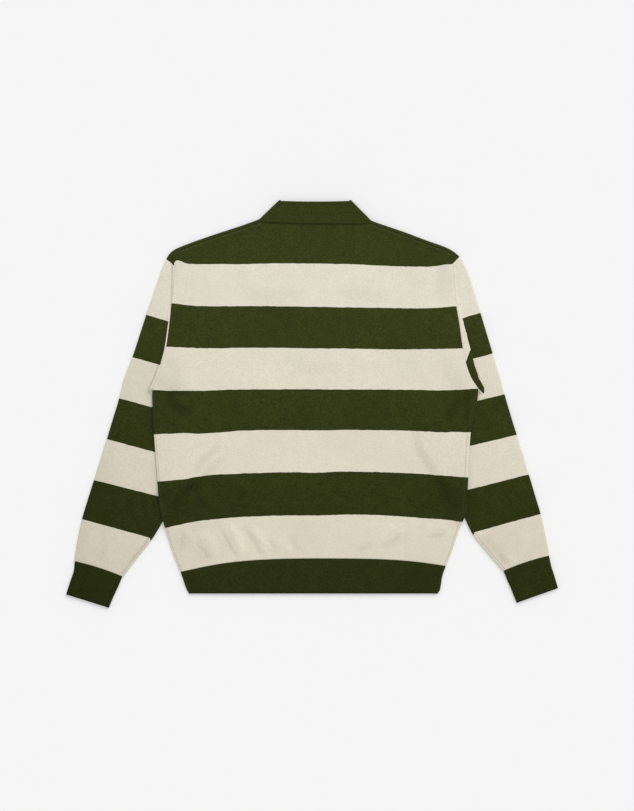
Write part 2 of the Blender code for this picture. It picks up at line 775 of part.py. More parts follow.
def collar_crease(row):
    """The strips round the crease at one side of the neck, from the front to the back."""
    fold, fall = (row.fold_x, row.fold_y), (row.fall_x, row.fall_y)
    along = np.array(fall) - np.array(fold)
    along = along / np.hypot(*along)
    outward = np.array((along[1], -along[0])) if row.side < 0 else np.array((-along[1], along[0]))
    strips = []
    for step in range(ARC_STEPS + 1):
        turn = math.pi * step / ARC_STEPS
        out = (*(outward * math.sin(turn)), -math.cos(turn))
        strips.append(collar_strip(fold, (row.stand_x, row.stand_y), fall, out))
    return strips


def collar_back():
    """The collar's strips across the back, between the creases."""
    left, right = COLLAR_SIDES
    outs = neck_outs()
    places = [-out for out in outs[::-1]] + [0.0] + outs
    strips = []
    for out in places:
        share = 0.5 + 0.5 * out / (CENTRE_X - left.stand_x)
        sag = 1.0 - (2.0 * share - 1.0) ** 2
        fold = between((left.fold_x, left.fold_y), (right.fold_x, right.fold_y), share)
        fall = between((left.fall_x, left.fall_y), (right.fall_x, right.fall_y), share)
        fold[1] -= FOLD_SAG * sag
        fall[1] -= FALL_SAG * sag
        stand = (CENTRE_X + out, back_top_y(CENTRE_X + out) + SEAM_GAP)
        strips.append(collar_strip(fold, stand, fall, (0.0, 0.0, 1.0)))
    return strips


def make_collar(collection, finish):
    """The collar: one knit piece round the neck, folded over."""
    left, right = COLLAR_SIDES
    strips = collar_front(left) + collar_crease(left) + collar_back()
    strips += collar_crease(right)[::-1] + collar_front(right)[::-1]
    return cloth("collar", strips, lambda row, column: True, collection, finish)


# Placket and buttons ---------------------------------------------------------------------

def make_strip(name, box, low, high, collection, finish):
    """A flat strip of knit that fills a box in plan."""
    shape = bmesh.new()
    bmesh.ops.create_cube(shape, size=1.0)
    size = (box.right - box.left, box.top - box.bottom, high - low)
    middle = ((box.left + box.right) / 2, (box.bottom + box.top) / 2, (low + high) / 2)
    for corner in shape.verts:
        corner.co = [(middle[k] + corner.co[k] * size[k]) * MM for k in range(3)]
    mesh = bpy.data.meshes.new(name)
    shape.to_mesh(mesh)
    shape.free()
    return place(mesh, name, collection, finish)


def make_placket(collection, finish):
    """The two bands in the front's slit, the top one flush with the front's outer face."""
    bottom = mix(FRONT_NECK_Y, LAST_UPPER_Y, UPPER_ROWS[SLIT_ROW])
    half = SLIT_HALF_WIDTH - SEAM_GAP
    box = Box(CENTRE_X - half, bottom + SEAM_GAP, CENTRE_X + half, FRONT_NECK_Y - SEAM_GAP)
    low = OVER_COLLAR
    make_strip("placket_top", box, low, low + BAND_WALL, collection, finish)
    low += BAND_WALL + SEAM_GAP
    make_strip("placket_under", box, low, low + UNDER_BAND_WALL, collection, finish)


def button_blank():
    """A button turned from its profile, its face down."""
    shape = bmesh.new()
    corners = [shape.verts.new((step.radius * MM, 0.0, step.level * MM)) for step in BUTTON_PROFILE]
    edges = [shape.edges.new(pair) for pair in zip(corners, corners[1:])]
    bmesh.ops.spin(
        shape, geom=corners + edges, angle=math.tau, steps=BUTTON_FACETS,
        axis=(0, 0, 1), cent=(0, 0, 0),
    )
    bmesh.ops.remove_doubles(shape, verts=shape.verts, dist=0.001 * MM)
    bmesh.ops.recalc_face_normals(shape, faces=shape.faces)
    mesh = bpy.data.meshes.new("button")
    shape.to_mesh(mesh)
    shape.free()
    return mesh


def button_holes():
    """Cutters for the four holes of a button."""
    shape = bmesh.new()
    for quarter in range(4):
        turn = math.tau * (quarter + 0.5) / 4
        made = bmesh.ops.create_cone(
            shape, cap_ends=True, segments=BUTTON_HOLE_FACETS, depth=BUTTON_HOLE_DEPTH * MM,
            radius1=BUTTON_HOLE_RADIUS * MM, radius2=BUTTON_HOLE_RADIUS * MM,
        )
        offset = BUTTON_HOLE_OFFSET * MM
        shift = (offset * math.cos(turn), offset * math.sin(turn), 0.0)
        bmesh.ops.translate(shape, verts=made["verts"], vec=shift)
    mesh = bpy.data.meshes.new("button_holes")
    shape.to_mesh(mesh)
    shape.free()
    return mesh


def make_buttons(collection, cutters, finish):
    """Flat buttons with a raised rim and four holes, on the placket."""
    for number, height in enumerate(BUTTON_HEIGHTS, start=1):
        button = place(button_blank(), f"button_{number}", collection, finish)
        button.location = (CENTRE_X * MM, height * MM, 0.0)
        cutter = bpy.data.objects.new(f"button_holes_{number}", button_holes())
        cutter.location = button.location
        cutter.hide_render = True
        cutter.display_type = "WIRE"
        cutters.objects.link(cutter)
        cut = button.modifiers.new("Holes", "BOOLEAN")
        cut.operation = "DIFFERENCE"
        cut.object = cutter


def main():
    """Build the garment piece by piece."""
    for old in list(bpy.data.objects):
        bpy.data.objects.remove(old)
    garment = bpy.data.collections.new("polo_sweater")
    cutters = bpy.data.collections.new("cutters")
    bpy.context.scene.collection.children.link(garment)
    bpy.context.scene.collection.children.link(cutters)
    stripes = material("striped_knit", CREAM, 0.95)
    rib = material("green_rib", GREEN, 0.95)
    shell = material("button_green", BUTTON_GREEN, 0.35)
    make_back(garment, stripes)
    make_front(garment, stripes)
    make_hem_bands(garment, rib)
    make_sleeve("sleeve_left", -1, LEFT_CAP, LEFT_ARM, garment, stripes)
    make_sleeve("sleeve_right", 1, RIGHT_CAP, RIGHT_ARM, garment, stripes)
    make_cuff("cuff_left", LEFT_ARM, LEFT_CUFF, garment, rib)
    make_cuff("cuff_right", RIGHT_ARM, RIGHT_CUFF, garment, rib)
    make_collar(garment, rib)
    make_placket(garment, rib)
    make_buttons(garment, cutters, shell)


main()
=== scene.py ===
"""Finish of a striped knit polo sweater that lies flat on its front.

Each knit piece is a thin closed wall on its solid's form, with its folds, seams and ribs. The
tables repeat the garment's own sizes in millimetres; meshes are made in metres.
"""

import math
from collections import namedtuple

import bmesh
import bpy
import numpy as np
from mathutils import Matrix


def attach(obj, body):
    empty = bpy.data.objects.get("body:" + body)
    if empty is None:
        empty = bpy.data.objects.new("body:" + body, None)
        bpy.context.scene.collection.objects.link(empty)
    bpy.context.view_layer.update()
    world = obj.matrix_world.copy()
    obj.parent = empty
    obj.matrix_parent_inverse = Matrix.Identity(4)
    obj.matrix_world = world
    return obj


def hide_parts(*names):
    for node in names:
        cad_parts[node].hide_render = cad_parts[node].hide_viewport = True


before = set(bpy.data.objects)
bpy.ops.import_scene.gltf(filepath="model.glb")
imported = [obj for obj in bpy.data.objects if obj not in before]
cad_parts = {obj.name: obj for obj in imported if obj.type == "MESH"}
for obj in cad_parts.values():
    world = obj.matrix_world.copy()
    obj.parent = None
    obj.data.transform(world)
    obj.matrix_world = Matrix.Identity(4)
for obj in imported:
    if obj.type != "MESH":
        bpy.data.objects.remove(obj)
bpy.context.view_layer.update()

bl_info = {
    "name": "Striped Polo Sweater",
    "version": (1, 0, 0),
    "blender": (4, 5, 0),
    "location": "3D View > Sidebar > Sweater",
    "description": "Builds a flat-laid striped knit polo sweater, piece by piece",
    "category": "Add Mesh",
}

MM = 0.001


def table_of(kind, *rows):
    """A table's rows, each as a named tuple."""
    return [kind(*row) for row in rows]


# Knit walls and how they lie on each other
WALL = 2.0                                # thickness of the knit
AIR = 1.2                                 # between a garment's two walls when it lies flat
SEAM_GAP = 0.06                           # between two pieces at a seam
HALF_PITCH = (WALL + AIR) / 2             # from the middle of a flat tube to each wall's middle
FOLD_EDGE = HALF_PITCH + WALL / 2         # half the thickness of a flat tube
OVER_SLEEVE = 2 * FOLD_EDGE + 0.5         # how far the body is raised where a sleeve lies below
OVER_COLLAR = 2.7                         # how far it is raised over the collar leaves and buttons

# Body
CENTRE_X = 5.7                            # the collar's and placket's centre line
REACH = 290.0                             # from the centre line to the underarm
STRAIGHT_REACH = 30.0                     # columns this near the centre run straight down
UNDERARM_Y = 25.9
LAST_UPPER_Y = UNDERARM_Y + 1.0           # the lowest row that still ends at an armhole
SHOULDER_WRAP = 6.3                       # how far the front comes over the shoulder
NECK_EASE = 0.128                         # columns near the neck lie out by up to this share
COURSE_BOW = 2.8                          # how late the rows of knitting bend towards the sides
BAND_BOWS = 2.2, 2.6                      # the same where the hem bands start, left and right

Shoulder = namedtuple("Shoulder", "out left_height right_height")
SHOULDERS = table_of(
    Shoulder,
    (90.8, 332.6, 329.8), (100.2, 328.2, 325.4), (110.5, 324.2, 321.5), (130, 317.3, 315),
    (151.5, 310.4, 307.8), (200, 294.2, 289.8), (228, 284, 279.9), (246.2, 276.6, 271.3),
    (254.5, 272.6, 267.2),
)

Edge = namedtuple("Edge", "height left right")
ARMHOLES = table_of(
    Edge,
    (266, -247.5, 250.8), (258.4, -247.4, 250.7), (251.6, -245.6, 250.3), (214.8, -247.2, 252.9),
    (176.7, -250.6, 255.9), (140, -254.7, 261.8), (101.7, -259.9, 267.1), (69.5, -267.7, 274.1),
    (47.4, -274.7, 282.1), (25.9, -284.6, 295.7),
)
SIDES = table_of(
    Edge,
    (25.9, -284.6, 295.7), (5, -284.4, 293.4), (-24, -283.6, 287.2), (-53, -281.8, 281.7),
    (-94, -278.6, 278.9), (-135, -275.6, 277.2), (-185, -271.4, 274.8), (-200, -267.6, 271.5),
    (-222, -262, 262), (-260, -250.4, 249.4), (-289.5, -239.1, 238.1), (-306, -232.7, 232.2),
    (-333, -222.9, 227.2), (-338.4, -219.3, 222.8),
)
# From the side's edge in to the seam on the back
SIDE_SEAM_INSETS = table_of(
    Edge,
    (25.9, 2.9, 2.9), (5, 3, 4), (-24, 3.2, 5.4), (-60, 3.3, 6.2), (-190, 3.4, 6.1),
    (-222, 3.2, 4.4), (-338, 3.1, 3.6),
)
# How far the body's armhole edges are raised
ARMHOLE_RIDGES = table_of(
    Edge,
    (266, 0.6, 0.2), (205, 1.1, 0.9), (150, 1.6, 2.5), (100, 2.6, 4.2), (60, 4, 5.2),
    (25.9, OVER_SLEEVE, OVER_SLEEVE),
)
RIDGE_LEVEL_WIDTH = 13.0                  # the ridge beside an armhole is level, then falls
RIDGE_WIDTH = 40.0
# Width of the tuck that lies beside each armhole seam
TUCKS = table_of(
    Edge,
    (200, 1.2, 1.2), (152, 2.5, 5), (100, 3, 10.8), (62, 3, 12.2), (27, 3, 8.6),
)

Course = namedtuple("Course", "left middle right")
# Heights of the rows of knitting between the stripes
COURSES = table_of(
    Course,
    (25.9, 25.9, 25.9), (-54.7, -46.4, -51), (-138.2, -122.9, -132), (-221.3, -197.1, -210),
    (-299, -275.6, -288.5), (-337.9, -337.9, -337.9),
)
BAND_COURSE = 4                           # the hem bands start at this course
BAND_NARROWER = 0.4                       # the hem bands are narrower by this at each side

# Neck and placket
NECK_OUT = 90.8                           # from the centre line to the end of a shoulder seam
BACK_NECK_Y = 325.0
NECK_POWER = 6                            # the back neckline is level, then rises to its ends
FRONT_NECK_Y = 252.0
SLIT_HALF_WIDTH = 15.0
BAND_WALL = 1.4
UNDER_BAND_WALL = 1.2
BUTTON_HEIGHTS = [238.0, 180.0, 122.0]
ButtonStep = namedtuple("ButtonStep", "radius level")
# From the middle of the face, over the rim, to the back
BUTTON_PROFILE = table_of(
    ButtonStep,
    (0, 0.5), (3.4, 0.5), (4.2, 0), (5.1, 0), (5.6, 0.6), (5.6, 1.6), (4.8, 2.4), (0, 2.4),
)
BUTTON_HOLE_RADIUS = 0.7
BUTTON_HOLE_OFFSET = 1.5                  # from the button's middle to each hole

# Collar, folded over along its top edge and creased at each side of the neck
STAND_LEVEL = HALF_PITCH                  # from the collar's middle plane to the stand's wall
FALL_LEVEL = OVER_COLLAR + FOLD_EDGE - WALL / 2
CollarSide = namedtuple("CollarSide", "side fold fall stand throat point")
COLLAR_SIDES = table_of(
    CollarSide,
    (-1, (-56.5, 358.8), (-91.6, 322.1), (-82.6, 325.5), (0.7, 270), (-46, 222)),
    (1, (66.5, 358.7), (102.3, 319.7), (94, 323), (10.7, 270), (57.4, 222)),
)
FOLD_SAG = 1.5                            # the folded top edge dips in the middle
FALL_SAG = 0.8
CORNER_EASE = 1.0                         # the fold draws in at its two corners
END_SPREAD = 1.1                          # the fall spreads out at its two ends

# Sleeves: a row for each section across them. The cap's sections start at the armhole on the
# rows of UPPER_SHARES, and the arm's go from the underarm to the cuff.
CapSection = namedtuple("CapSection", "outer_x outer_y")
ArmSection = namedtuple("ArmSection", "inner_x inner_y outer_x outer_y")
LEFT_CAP = table_of(
    CapSection,
    (-248, 272.4), (-253.8, 267.4), (-259, 259.2), (-268.4, 237.4), (-275, 218), (-281.7, 198.7),
    (-289, 177.5), (-296.8, 154.8), (-304, 132.5), (-311.3, 110), (-318.7, 87.5), (-328, 63.3),
    (-336.9, 39.3),
)
LEFT_ARM = table_of(
    ArmSection,
    (-288.9, 17.2, -339, 29.7), (-262.2, 5.8, -340, 25.5), (-235.5, -3.3, -341.1, 21.7),
    (-212.4, -16.6, -342.5, 15.9), (-194.6, -28.2, -344.1, 9.2), (-172, -48, -347.7, -3.8),
    (-162.5, -73.6, -354.3, -24.6), (-168, -89, -358.9, -39.8), (-185.7, -106.5, -365.2, -61.1),
    (-203, -124, -372, -81.6), (-217.7, -139.5, -377.3, -99.1), (-243.5, -171.5, -388.3, -134.6),
    (-264.6, -207.2, -400.3, -172.6), (-284.8, -240.6, -410.6, -207.9),
    (-313.3, -277, -418.7, -247.7), (-336.9, -308, -424, -280.1),
)
LEFT_CUFF = table_of(
    ArmSection,
    (-345.9, -326.8, -424.5, -296.3), (-354.4, -344.8, -431.5, -317.7),
    (-361.9, -363.4, -438.5, -339.5),
)
RIGHT_CAP = table_of(
    CapSection,
    (251.3, 271), (257.6, 265.9), (263.4, 260.2), (273.5, 241.5), (281.3, 222.5), (287.2, 202.8),
    (293.9, 180.5), (300.6, 158), (307.5, 135), (314.7, 111.3), (321.9, 87.3), (329.3, 62.3),
    (336.8, 37.2),
)
RIGHT_ARM = table_of(
    ArmSection,
    (299, 17.5, 339.3, 27.1), (275, 6, 340.7, 22), (250, -5, 342.1, 17.5), (225, -20, 344.6, 9),
    (203, -37, 347.8, -2), (197, -57, 352.2, -16.8), (200, -75, 357.5, -34.5),
    (211, -93, 363.8, -54.3), (224, -112, 370, -74.7), (234, -132, 376.2, -95.2),
    (247, -159, 384.5, -122.7), (258, -177, 390.8, -143.1), (267.8, -195.8, 396.4, -162.1),
    (285.9, -233, 407.7, -200.3), (309.1, -262.9, 414.8, -231.9), (339.2, -297.9, 422.5, -270.3),
)
RIGHT_CUFF = table_of(
    ArmSection,
    (346.4, -312.8, 425.6, -289), (353.1, -327.9, 431.1, -306.4), (363.7, -354.6, 437.6, -328.3),
)
CUFF_NARROWER = 1.0                       # a cuff starts narrower than its sleeve at each side
SLEEVE_SEAM_INSET = 5.0                   # the underarm seam shows on top, this far in

# Where the body is raised: full height within the margin, then falling over the fade
SLEEVE_MARGIN, SLEEVE_FADE = 1.0, 20.0
THROAT_MARGIN, THROAT_FADE = 10.0, 30.0
RAISE_BLEND = 8                           # how sharply the highest of the raises wins
FAR, TINY = 1e3, 1e-9                     # beyond all of the garment, and next to nothing
Box = namedtuple("Box", "left bottom right top")
THROAT_BOXES = table_of(Box, (-100, 218, 112, 370), (-12, 88, 23, 260))


# How finely the walls are made: distance between points
BODY_STEP = 3.0
FRONT_STEP = 4.2
SLEEVE_STEP = 3.2
RIB_STEP = 0.62
FOLD_FACETS = 8
TURNS = np.pi * np.arange(FOLD_FACETS + 1) / FOLD_FACETS  # half a turn round a fold
UPPER_SHARES = [0.0, 0.02, 0.05, 0.12, 0.21, 0.3, 0.4, 0.5, 0.6, 0.7, 0.8, 0.9, 1.0]
SLIT_END = 0.7                            # the placket's slit ends at this share of the way down
LAST_NECK_ANGLE = 24.0

# Seams and edges
SEAM_ROLL = 1.7                           # a wall's edge rolls down over this width at a seam
SEAM_THIN = 0.15                          # share of the outer half of the wall left at the edge
TUCK_DROP = 3.2                           # width over which a tuck's fold drops to the sleeve
UNDER_SLOPE = 5.0
LEVEL_END = 1.5
LEAST_TUCK = 1.2
PLAIN_TUCK = 1.7                          # a tuck this narrow shows no stripe of its own
TUCK_SHOWN = {-1: 3, 1: 6}                # how many columns of a tuck show its own stripes
NARROW_SHARE = 0.6
SEAM_STEP = 1.0                           # past a sleeve's seam its stripes lie lower by this

# Stripes. A stripe number is whole at each line between two stripes, and odd ones are cream.
STRIPE_HEIGHT = 74.0
MOST_SHARE = 1.2                          # a sleeve's stripe runs at most this far past its line
TUCK_LIMIT = 0.95                         # a tuck shows just one cream and one green stripe
FIRST_STRIPE = -3.95                      # the yoke is green up to its very top
# Places on each line between two stripes
BODY_STRIPES = {
    -3: [(-252, 248.2), (-247, 248.7), (-241.4, 254.9), (-235.5, 254), (-226.6, 250),
         (-220, 248.6), (-200, 248), (-153, 248.1), (-120, 247.9), (-60, 249.2), (-20, 249),
         (30, 248.4), (60, 248), (125, 245.2), (200, 243.3), (221, 244.6), (236, 247.2),
         (252, 248.3)],
    -2: [(-256, 178.6), (-250, 178.3), (-205, 173.6), (-160, 173), (-120, 173.2), (-60, 173.1),
         (-30, 172.4), (0, 172.1), (30, 171.4), (100, 170.5), (190, 169.4), (228, 170.6),
         (252, 172.5)],
    -1: [(-258, 101), (-250, 100.7), (-205, 98.6), (-165, 98.2), (-129, 99.2), (-75, 99.1),
         (0, 97.9), (50, 97.7), (100, 96.9), (160, 96.2), (205, 96.8), (252, 97.3), (268, 98.1)],
    0: [(-284, 24.2), (-247, 22.8), (-203, 22.8), (-129, 24.9), (0, 25.4), (60, 24.9),
        (156, 24.6), (230, 23.5), (290, 26.2)],
}
# How far the lower lines lie below their row of knitting
LINE_DROPS = {
    0: [(-284, 1.7), (-247, 3.1), (-203, 3.1), (-129, 1), (0, 0.5), (60, 1), (156, 1.3),
        (230, 2.4), (290, -0.3)],
    1: [(-280, 0.1), (-225, 1.6), (-200, 3.9), (-160, 3.4), (-135, 1.2), (-80, 0.6), (-20, 1),
        (0, 1.5), (25, 1.5), (50, 0.7), (128, 0.9), (185, 1.4), (235, 2.2), (250, 0.6),
        (281, 0.1)],
    2: [(-275, 0), (-250, 1.4), (-230, 2.2), (-209, 0.6), (-170, -0.8), (-129, 0), (-90, -0.3),
        (-30, -0.8), (0, 0.3), (15, 0.2), (45, -1.9), (110, -1.6), (215, -0.9), (235, -0.8),
        (272, -0.8)],
    3: [(-262, -0.3), (-200, 0.2), (-175, 1.3), (-154, 1.6), (-100, 2.2), (-47, 2), (0, 2.2),
        (30, 1.4), (80, 0.3), (140, 0.9), (180, 1.7), (215, 1.1), (235, 0.3), (262, 0)],
    4: [(-240, 2), (240, 2)],
}
SleeveLine = namedtuple("SleeveLine", "number inner_x inner_y outer_x outer_y")
LEFT_STRIPES = table_of(
    SleeveLine,
    (-3, -245.8, 245.5, -258.6, 255.8), (-2, -256.9, 146.4, -294.9, 157.7),
    (-1, -269.3, 67.7, -318.8, 82), (0, -285.3, -6.3, -343.5, 9.2),
    (1, -280, -86.6, -365.1, -63.4), (2, -273.8, -165, -387.2, -136.6),
    (3, -293.7, -237.6, -408.7, -206), (4, -336.9, -311, -422.6, -283.5),
)
RIGHT_STRIPES = table_of(
    SleeveLine,
    (-3, 250.4, 248.9, 262.9, 262.7), (-2, 269.3, 152.4, 298.9, 161.4),
    (-1, 286.4, 79.5, 320, 88.6), (0, 293.2, 4.8, 341.8, 16.2), (1, 280, -75.7, 362.6, -55.9),
    (2, 277.3, -153.4, 384.7, -126.2), (3, 292.6, -227.6, 405.1, -196.8),
    (4, 339.2, -300.6, 421.6, -273.3),
)
# On a tuck the sleeve's own stripes show again: cream, then green past this line.
TuckLine = namedtuple("TuckLine", "x y across_x across_y")
TUCK_LINES = {-1: TuckLine(-262.0, -60.0, 0.0, -1.0), 1: TuckLine(273.6, 75.4, 0.942, -0.339)}

# Creases and soft folds, each from one end to the other
Crease = namedtuple("Crease", "from_x from_y to_x to_y width height")
BODY_CREASES = table_of(
    Crease,
    (-163, -226, -135, -273, 3, -1.7), (-151, -216, -118, -268, 9, 3),
    (-120, -222, -88, -273, 4.5, -1.6), (-108, -220, -78, -262, 9, 1.8),
    (-78, -240, -64, -263, 4.5, -1.1), (-68, -234, -50, -266, 6, 1.3),
    (-43, -236, -23, -262, 4.5, -1.1), (-54, -230, -37, -268, 5, 1.4),
    (-208, -248, -182, -276, 4.5, -1.3), (-236, -264, -228, -230, 4.5, -1.1),
    (-216, -212, -190, -292, 40, -1.2), (-168, -74, -210, -124, 7, -1.2),
    (-206, -132, -246, -184, 7.5, -1.7), (-204, -160, -193, -186, 4.5, -1.2),
    (-126, -150, -123, -172, 6, -0.8), (-258, 86, -238, 24, 13, -0.8),
    (222, -128, 262, -188, 8, -1.4), (-196, -226, -168, -272, 10, 1.4),
    (-222, -220, -206, -262, 6, 0.9), (122, -255, 157, -238, 7, -1.3),
    (112, -243, 160, -222, 12, 1.4), (202, -241, 236, -231, 6, -1.1),
    (200, -228, 240, -218, 9, 1.1), (82, -264, 104, -250, 6, -0.9),
    (226, 246, 230, 176, 17, -0.7), (210, 250, 213, 120, 14, 1.1),
    (-39.7, 323, -27.2, 282.4, 5, 0.9), (-27.2, 282.4, -4.1, 255.7, 5, 0.81),
    (54.6, 321.6, 49.3, 291.3, 5, 0.9), (49.3, 291.3, 31.5, 264.6, 5, 0.81),
    (-273, 48, -232, 8, 12, -1.2), (-262, 12, -214, -16, 12, -1.9), (280, 22, 272, -32, 7, -1.5),
    (268, 12, 236, -26, 10, -1.3), (-120, 60, -60, -40, 34, 1.1), (70, 120, 120, 20, 38, 1.1),
    (-40, -90, 60, -160, 40, 0.9),
)
LEFT_SLEEVE_CREASES = table_of(
    Crease,
    (-300, -172, -289, -222, 5, -1.1), (-292, -170, -280, -214, 5, 1.4),
    (-312, -176, -302, -226, 7, 1.1), (-281, -158, -279, -208, 6, -1.6),
    (-331, -289, -290, -240, 3.4, -1.3), (-247.8, 264, -251.8, 168, 2.4, -2.3),
    (-255, 256, -264, 110, 9, 0.5), (-275, 50, -290, 0, 8, -0.5),
    (-352, -60, -328, -20, 12, 1.1), (-390, -262, -384, -232, 7, 1.1),
    (-366, -286, -356, -250, 6, 1.3), (-376, -284, -368, -250, 4.5, -0.9),
    (-354, -60, -330, -160, 30, 0.9),
)
RIGHT_SLEEVE_CREASES = table_of(
    Crease,
    (332, -266, 350, -292, 5.5, -1), (343, -262, 360, -286, 6.5, 0.8),
    (306, -236, 343, -288, 13, -1.4), (325, -200, 378, -305, 50, -0.7),
    (300, -150, 312, -192, 8, 1.1), (352, -60, 330, -18, 12, 1.1),
    (384, -266, 376, -232, 7, 0.5),
)

Sleeve = namedtuple("Sleeve", "name side cap arm cuff lines creases area cuff_area")
SLEEVES = table_of(
    Sleeve,
    ("left", -1, LEFT_CAP, LEFT_ARM, LEFT_CUFF, LEFT_STRIPES, LEFT_SLEEVE_CREASES, 0.115, 0.0097),
    ("right", 1, RIGHT_CAP, RIGHT_ARM, RIGHT_CUFF, RIGHT_STRIPES, RIGHT_SLEEVE_CREASES,
     0.103, 0.0095),
)

# Long, faint rolls that no cloth lies without
Roll = namedtuple("Roll", "along_x along_y start height")
ROLLS = table_of(
    Roll,
    (0.011, 0.034, 0.4, 0.16), (0.029, -0.012, 1.9, 0.14), (-0.046, 0.027, 3.1, 0.09),
    (0.071, 0.058, 0.8, 0.05),
)
CREASE_SWAY, SWAY_RATE = 0.35, 5.0        # a crease sways by this share of its width
CREASE_FADE, CREASE_PAST = 0.35, 0.4      # it fades out over this share, a little past its end
LEAST_LOFT = 0.4                          # the cloth's own loft over all of it
DEEPEST = 1.0                             # no trough goes deeper, to keep clear of the front


def smooth(amount):
    """Rise from 0 to 1 with level ends."""
    amount = np.clip(amount, 0.0, 1.0)
    return amount * amount * (3.0 - 2.0 * amount)


def mix(start, end, amount):
    """The value or place this far from start to end."""
    return start + (end - start) * amount


def curve(positions, values, at):
    """A smooth curve through table rows, read at any places, that never overshoots them."""
    xs, ys = np.asarray(positions, dtype=float), np.asarray(values, dtype=float)
    if xs[0] > xs[-1]:
        xs, ys = xs[::-1], ys[::-1]
    at = np.clip(at, xs[0], xs[-1])
    steps = np.diff(xs)
    slopes = np.diff(ys) / steps
    tangents = np.zeros(len(xs))
    tangents[0], tangents[-1] = slopes[0], slopes[-1]
    weight = (steps[:-1] + 2.0 * steps[1:]) / (3.0 * (steps[:-1] + steps[1:]))
    level = slopes[:-1] * slopes[1:]
    below = np.where(level > 0.0, mix(slopes[:-1], slopes[1:], weight), 1.0)
    tangents[1:-1] = np.where(level > 0.0, level / below, 0.0)
    i = np.clip(np.searchsorted(xs, at, side="right") - 1, 0, len(steps) - 1)
    t = (at - xs[i]) / steps[i]
    bend = t * t * (3.0 - 2.0 * t)
    lead = tangents[i] * t * (1.0 - t) ** 2 - tangents[i + 1] * t * t * (1.0 - t)
    return ys[i] + (ys[i + 1] - ys[i]) * bend + lead * steps[i]


def edge_value(table, side, height):
    """Read the left (side -1) or right (side 1) column of an Edge table at a height."""
    heights = [row.height for row in table]
    left = curve(heights, [row.left for row in table], height)
    right = curve(heights, [row.right for row in table], height)
    return np.where(side < 0, left, right)


def outline_distance(x, y, outline):
    """How far places lie from a closed outline, 0 or less inside it."""
    start, end = outline, np.roll(outline, -1, axis=0)
    run = end - start
    px, py = x[..., None], y[..., None]
    along = (px - start[:, 0]) * run[:, 0] + (py - start[:, 1]) * run[:, 1]
    along = np.clip(along / np.maximum((run ** 2).sum(axis=1), TINY), 0.0, 1.0)
    away = np.hypot(px - start[:, 0] - run[:, 0] * along, py - start[:, 1] - run[:, 1] * along)
    rise = np.where(run[:, 1] == 0.0, TINY, run[:, 1])
    crossing = start[:, 0] + (py - start[:, 1]) * run[:, 0] / rise
    crosses = ((start[:, 1] > py) != (end[:, 1] > py)) & (px < crossing)
    inside = crosses.sum(axis=-1) % 2 == 1
    return np.where(inside, 0.0, away.min(axis=-1))


def arm_outline(sections):
    """The plan of a sleeve below the underarm."""
    inner = [(row.inner_x, row.inner_y) for row in sections]
    outer = [(row.outer_x, row.outer_y) for row in sections]
    return np.array(inner + outer[::-1])


def lift(x, y):
    """How far the body's lower wall is raised above the surface it lies on."""
    cover = np.zeros_like(x)
    for sleeve in SLEEVES:
        away = outline_distance(x, y, arm_outline(sleeve.arm))
        cover = np.maximum(cover, 1.0 - smooth((away - SLEEVE_MARGIN) / SLEEVE_FADE))
    throat = np.full_like(x, FAR)
    for box in THROAT_BOXES:
        out_x = np.maximum(np.maximum(box.left - x, x - box.right), 0.0)
        out_y = np.maximum(np.maximum(box.bottom - y, y - box.top), 0.0)
        throat = np.minimum(throat, np.hypot(out_x, out_y))
    throat = 1.0 - smooth((throat - THROAT_MARGIN) / THROAT_FADE)
    side = np.where(x < CENTRE_X, -1, 1)
    inside = np.abs(edge_value(ARMHOLES, side, y) - x)
    fall = smooth((inside - RIDGE_LEVEL_WIDTH) / RIDGE_WIDTH)
    below = smooth((UNDERARM_Y - y) / RIDGE_WIDTH)
    ridge = edge_value(ARMHOLE_RIDGES, side, y) * (1.0 - fall) * (1.0 - below)
    heights = np.stack([OVER_SLEEVE * cover, OVER_COLLAR * throat, ridge])
    return (heights ** RAISE_BLEND).sum(axis=0) ** (1.0 / RAISE_BLEND)


def line_place(x, y, start, end):
    """Where places lie by a line: the share of the way along it, and how far to its side."""
    run = np.array(end) - start
    length, past_x, past_y = np.hypot(*run), x - start[0], y - start[1]
    along = (past_x * run[0] + past_y * run[1]) / length ** 2
    return along, (past_x * run[1] - past_y * run[0]) / length


def fold_heights(x, y, creases, strength):
    """Height of the folds and creases over the cloth's loft, with the faint rolls under them."""
    height = np.zeros_like(x)
    for row in creases:
        along, across = line_place(x, y, row[:2], row[2:4])
        across = across + row.width * CREASE_SWAY * np.sin(along * SWAY_RATE + row.from_x)
        first, last = along / CREASE_FADE + CREASE_PAST, (1.0 - along) / CREASE_FADE + CREASE_PAST
        height += row.height * smooth(first) * smooth(last) * np.exp(-(across / row.width) ** 2)
    for roll in ROLLS:
        height += roll.height * np.sin(roll.along_x * x + roll.along_y * y + roll.start)
    return strength * height


def relief(folds, strength):
    """Height of the folded cloth over where it lies flat."""
    height = folds + strength * LEAST_LOFT
    return np.where(height < 0.0, DEEPEST * np.expm1(height / DEEPEST), height)


def run_lengths(points, axis):
    """Length of the way along each row (axis 1) or column (axis 0) of a grid."""
    steps = np.linalg.norm(np.diff(points, axis=axis), axis=2)
    start = np.zeros_like(np.take(steps, [0], axis=axis))
    return np.cumsum(np.concatenate([start, steps], axis=axis), axis=axis)


def respace(points, step):
    """The same rows of places with new ones evenly along them."""
    along = run_lengths(points, 1).mean(axis=0)
    targets = np.linspace(0.0, along[-1], int(round(along[-1] / step)) + 1)
    rows = [[np.interp(targets, along, row[:, k]) for k in range(row.shape[1])] for row in points]
    return np.array(rows).transpose(0, 2, 1)


# Stripes ---------------------------------------------------------------------------------

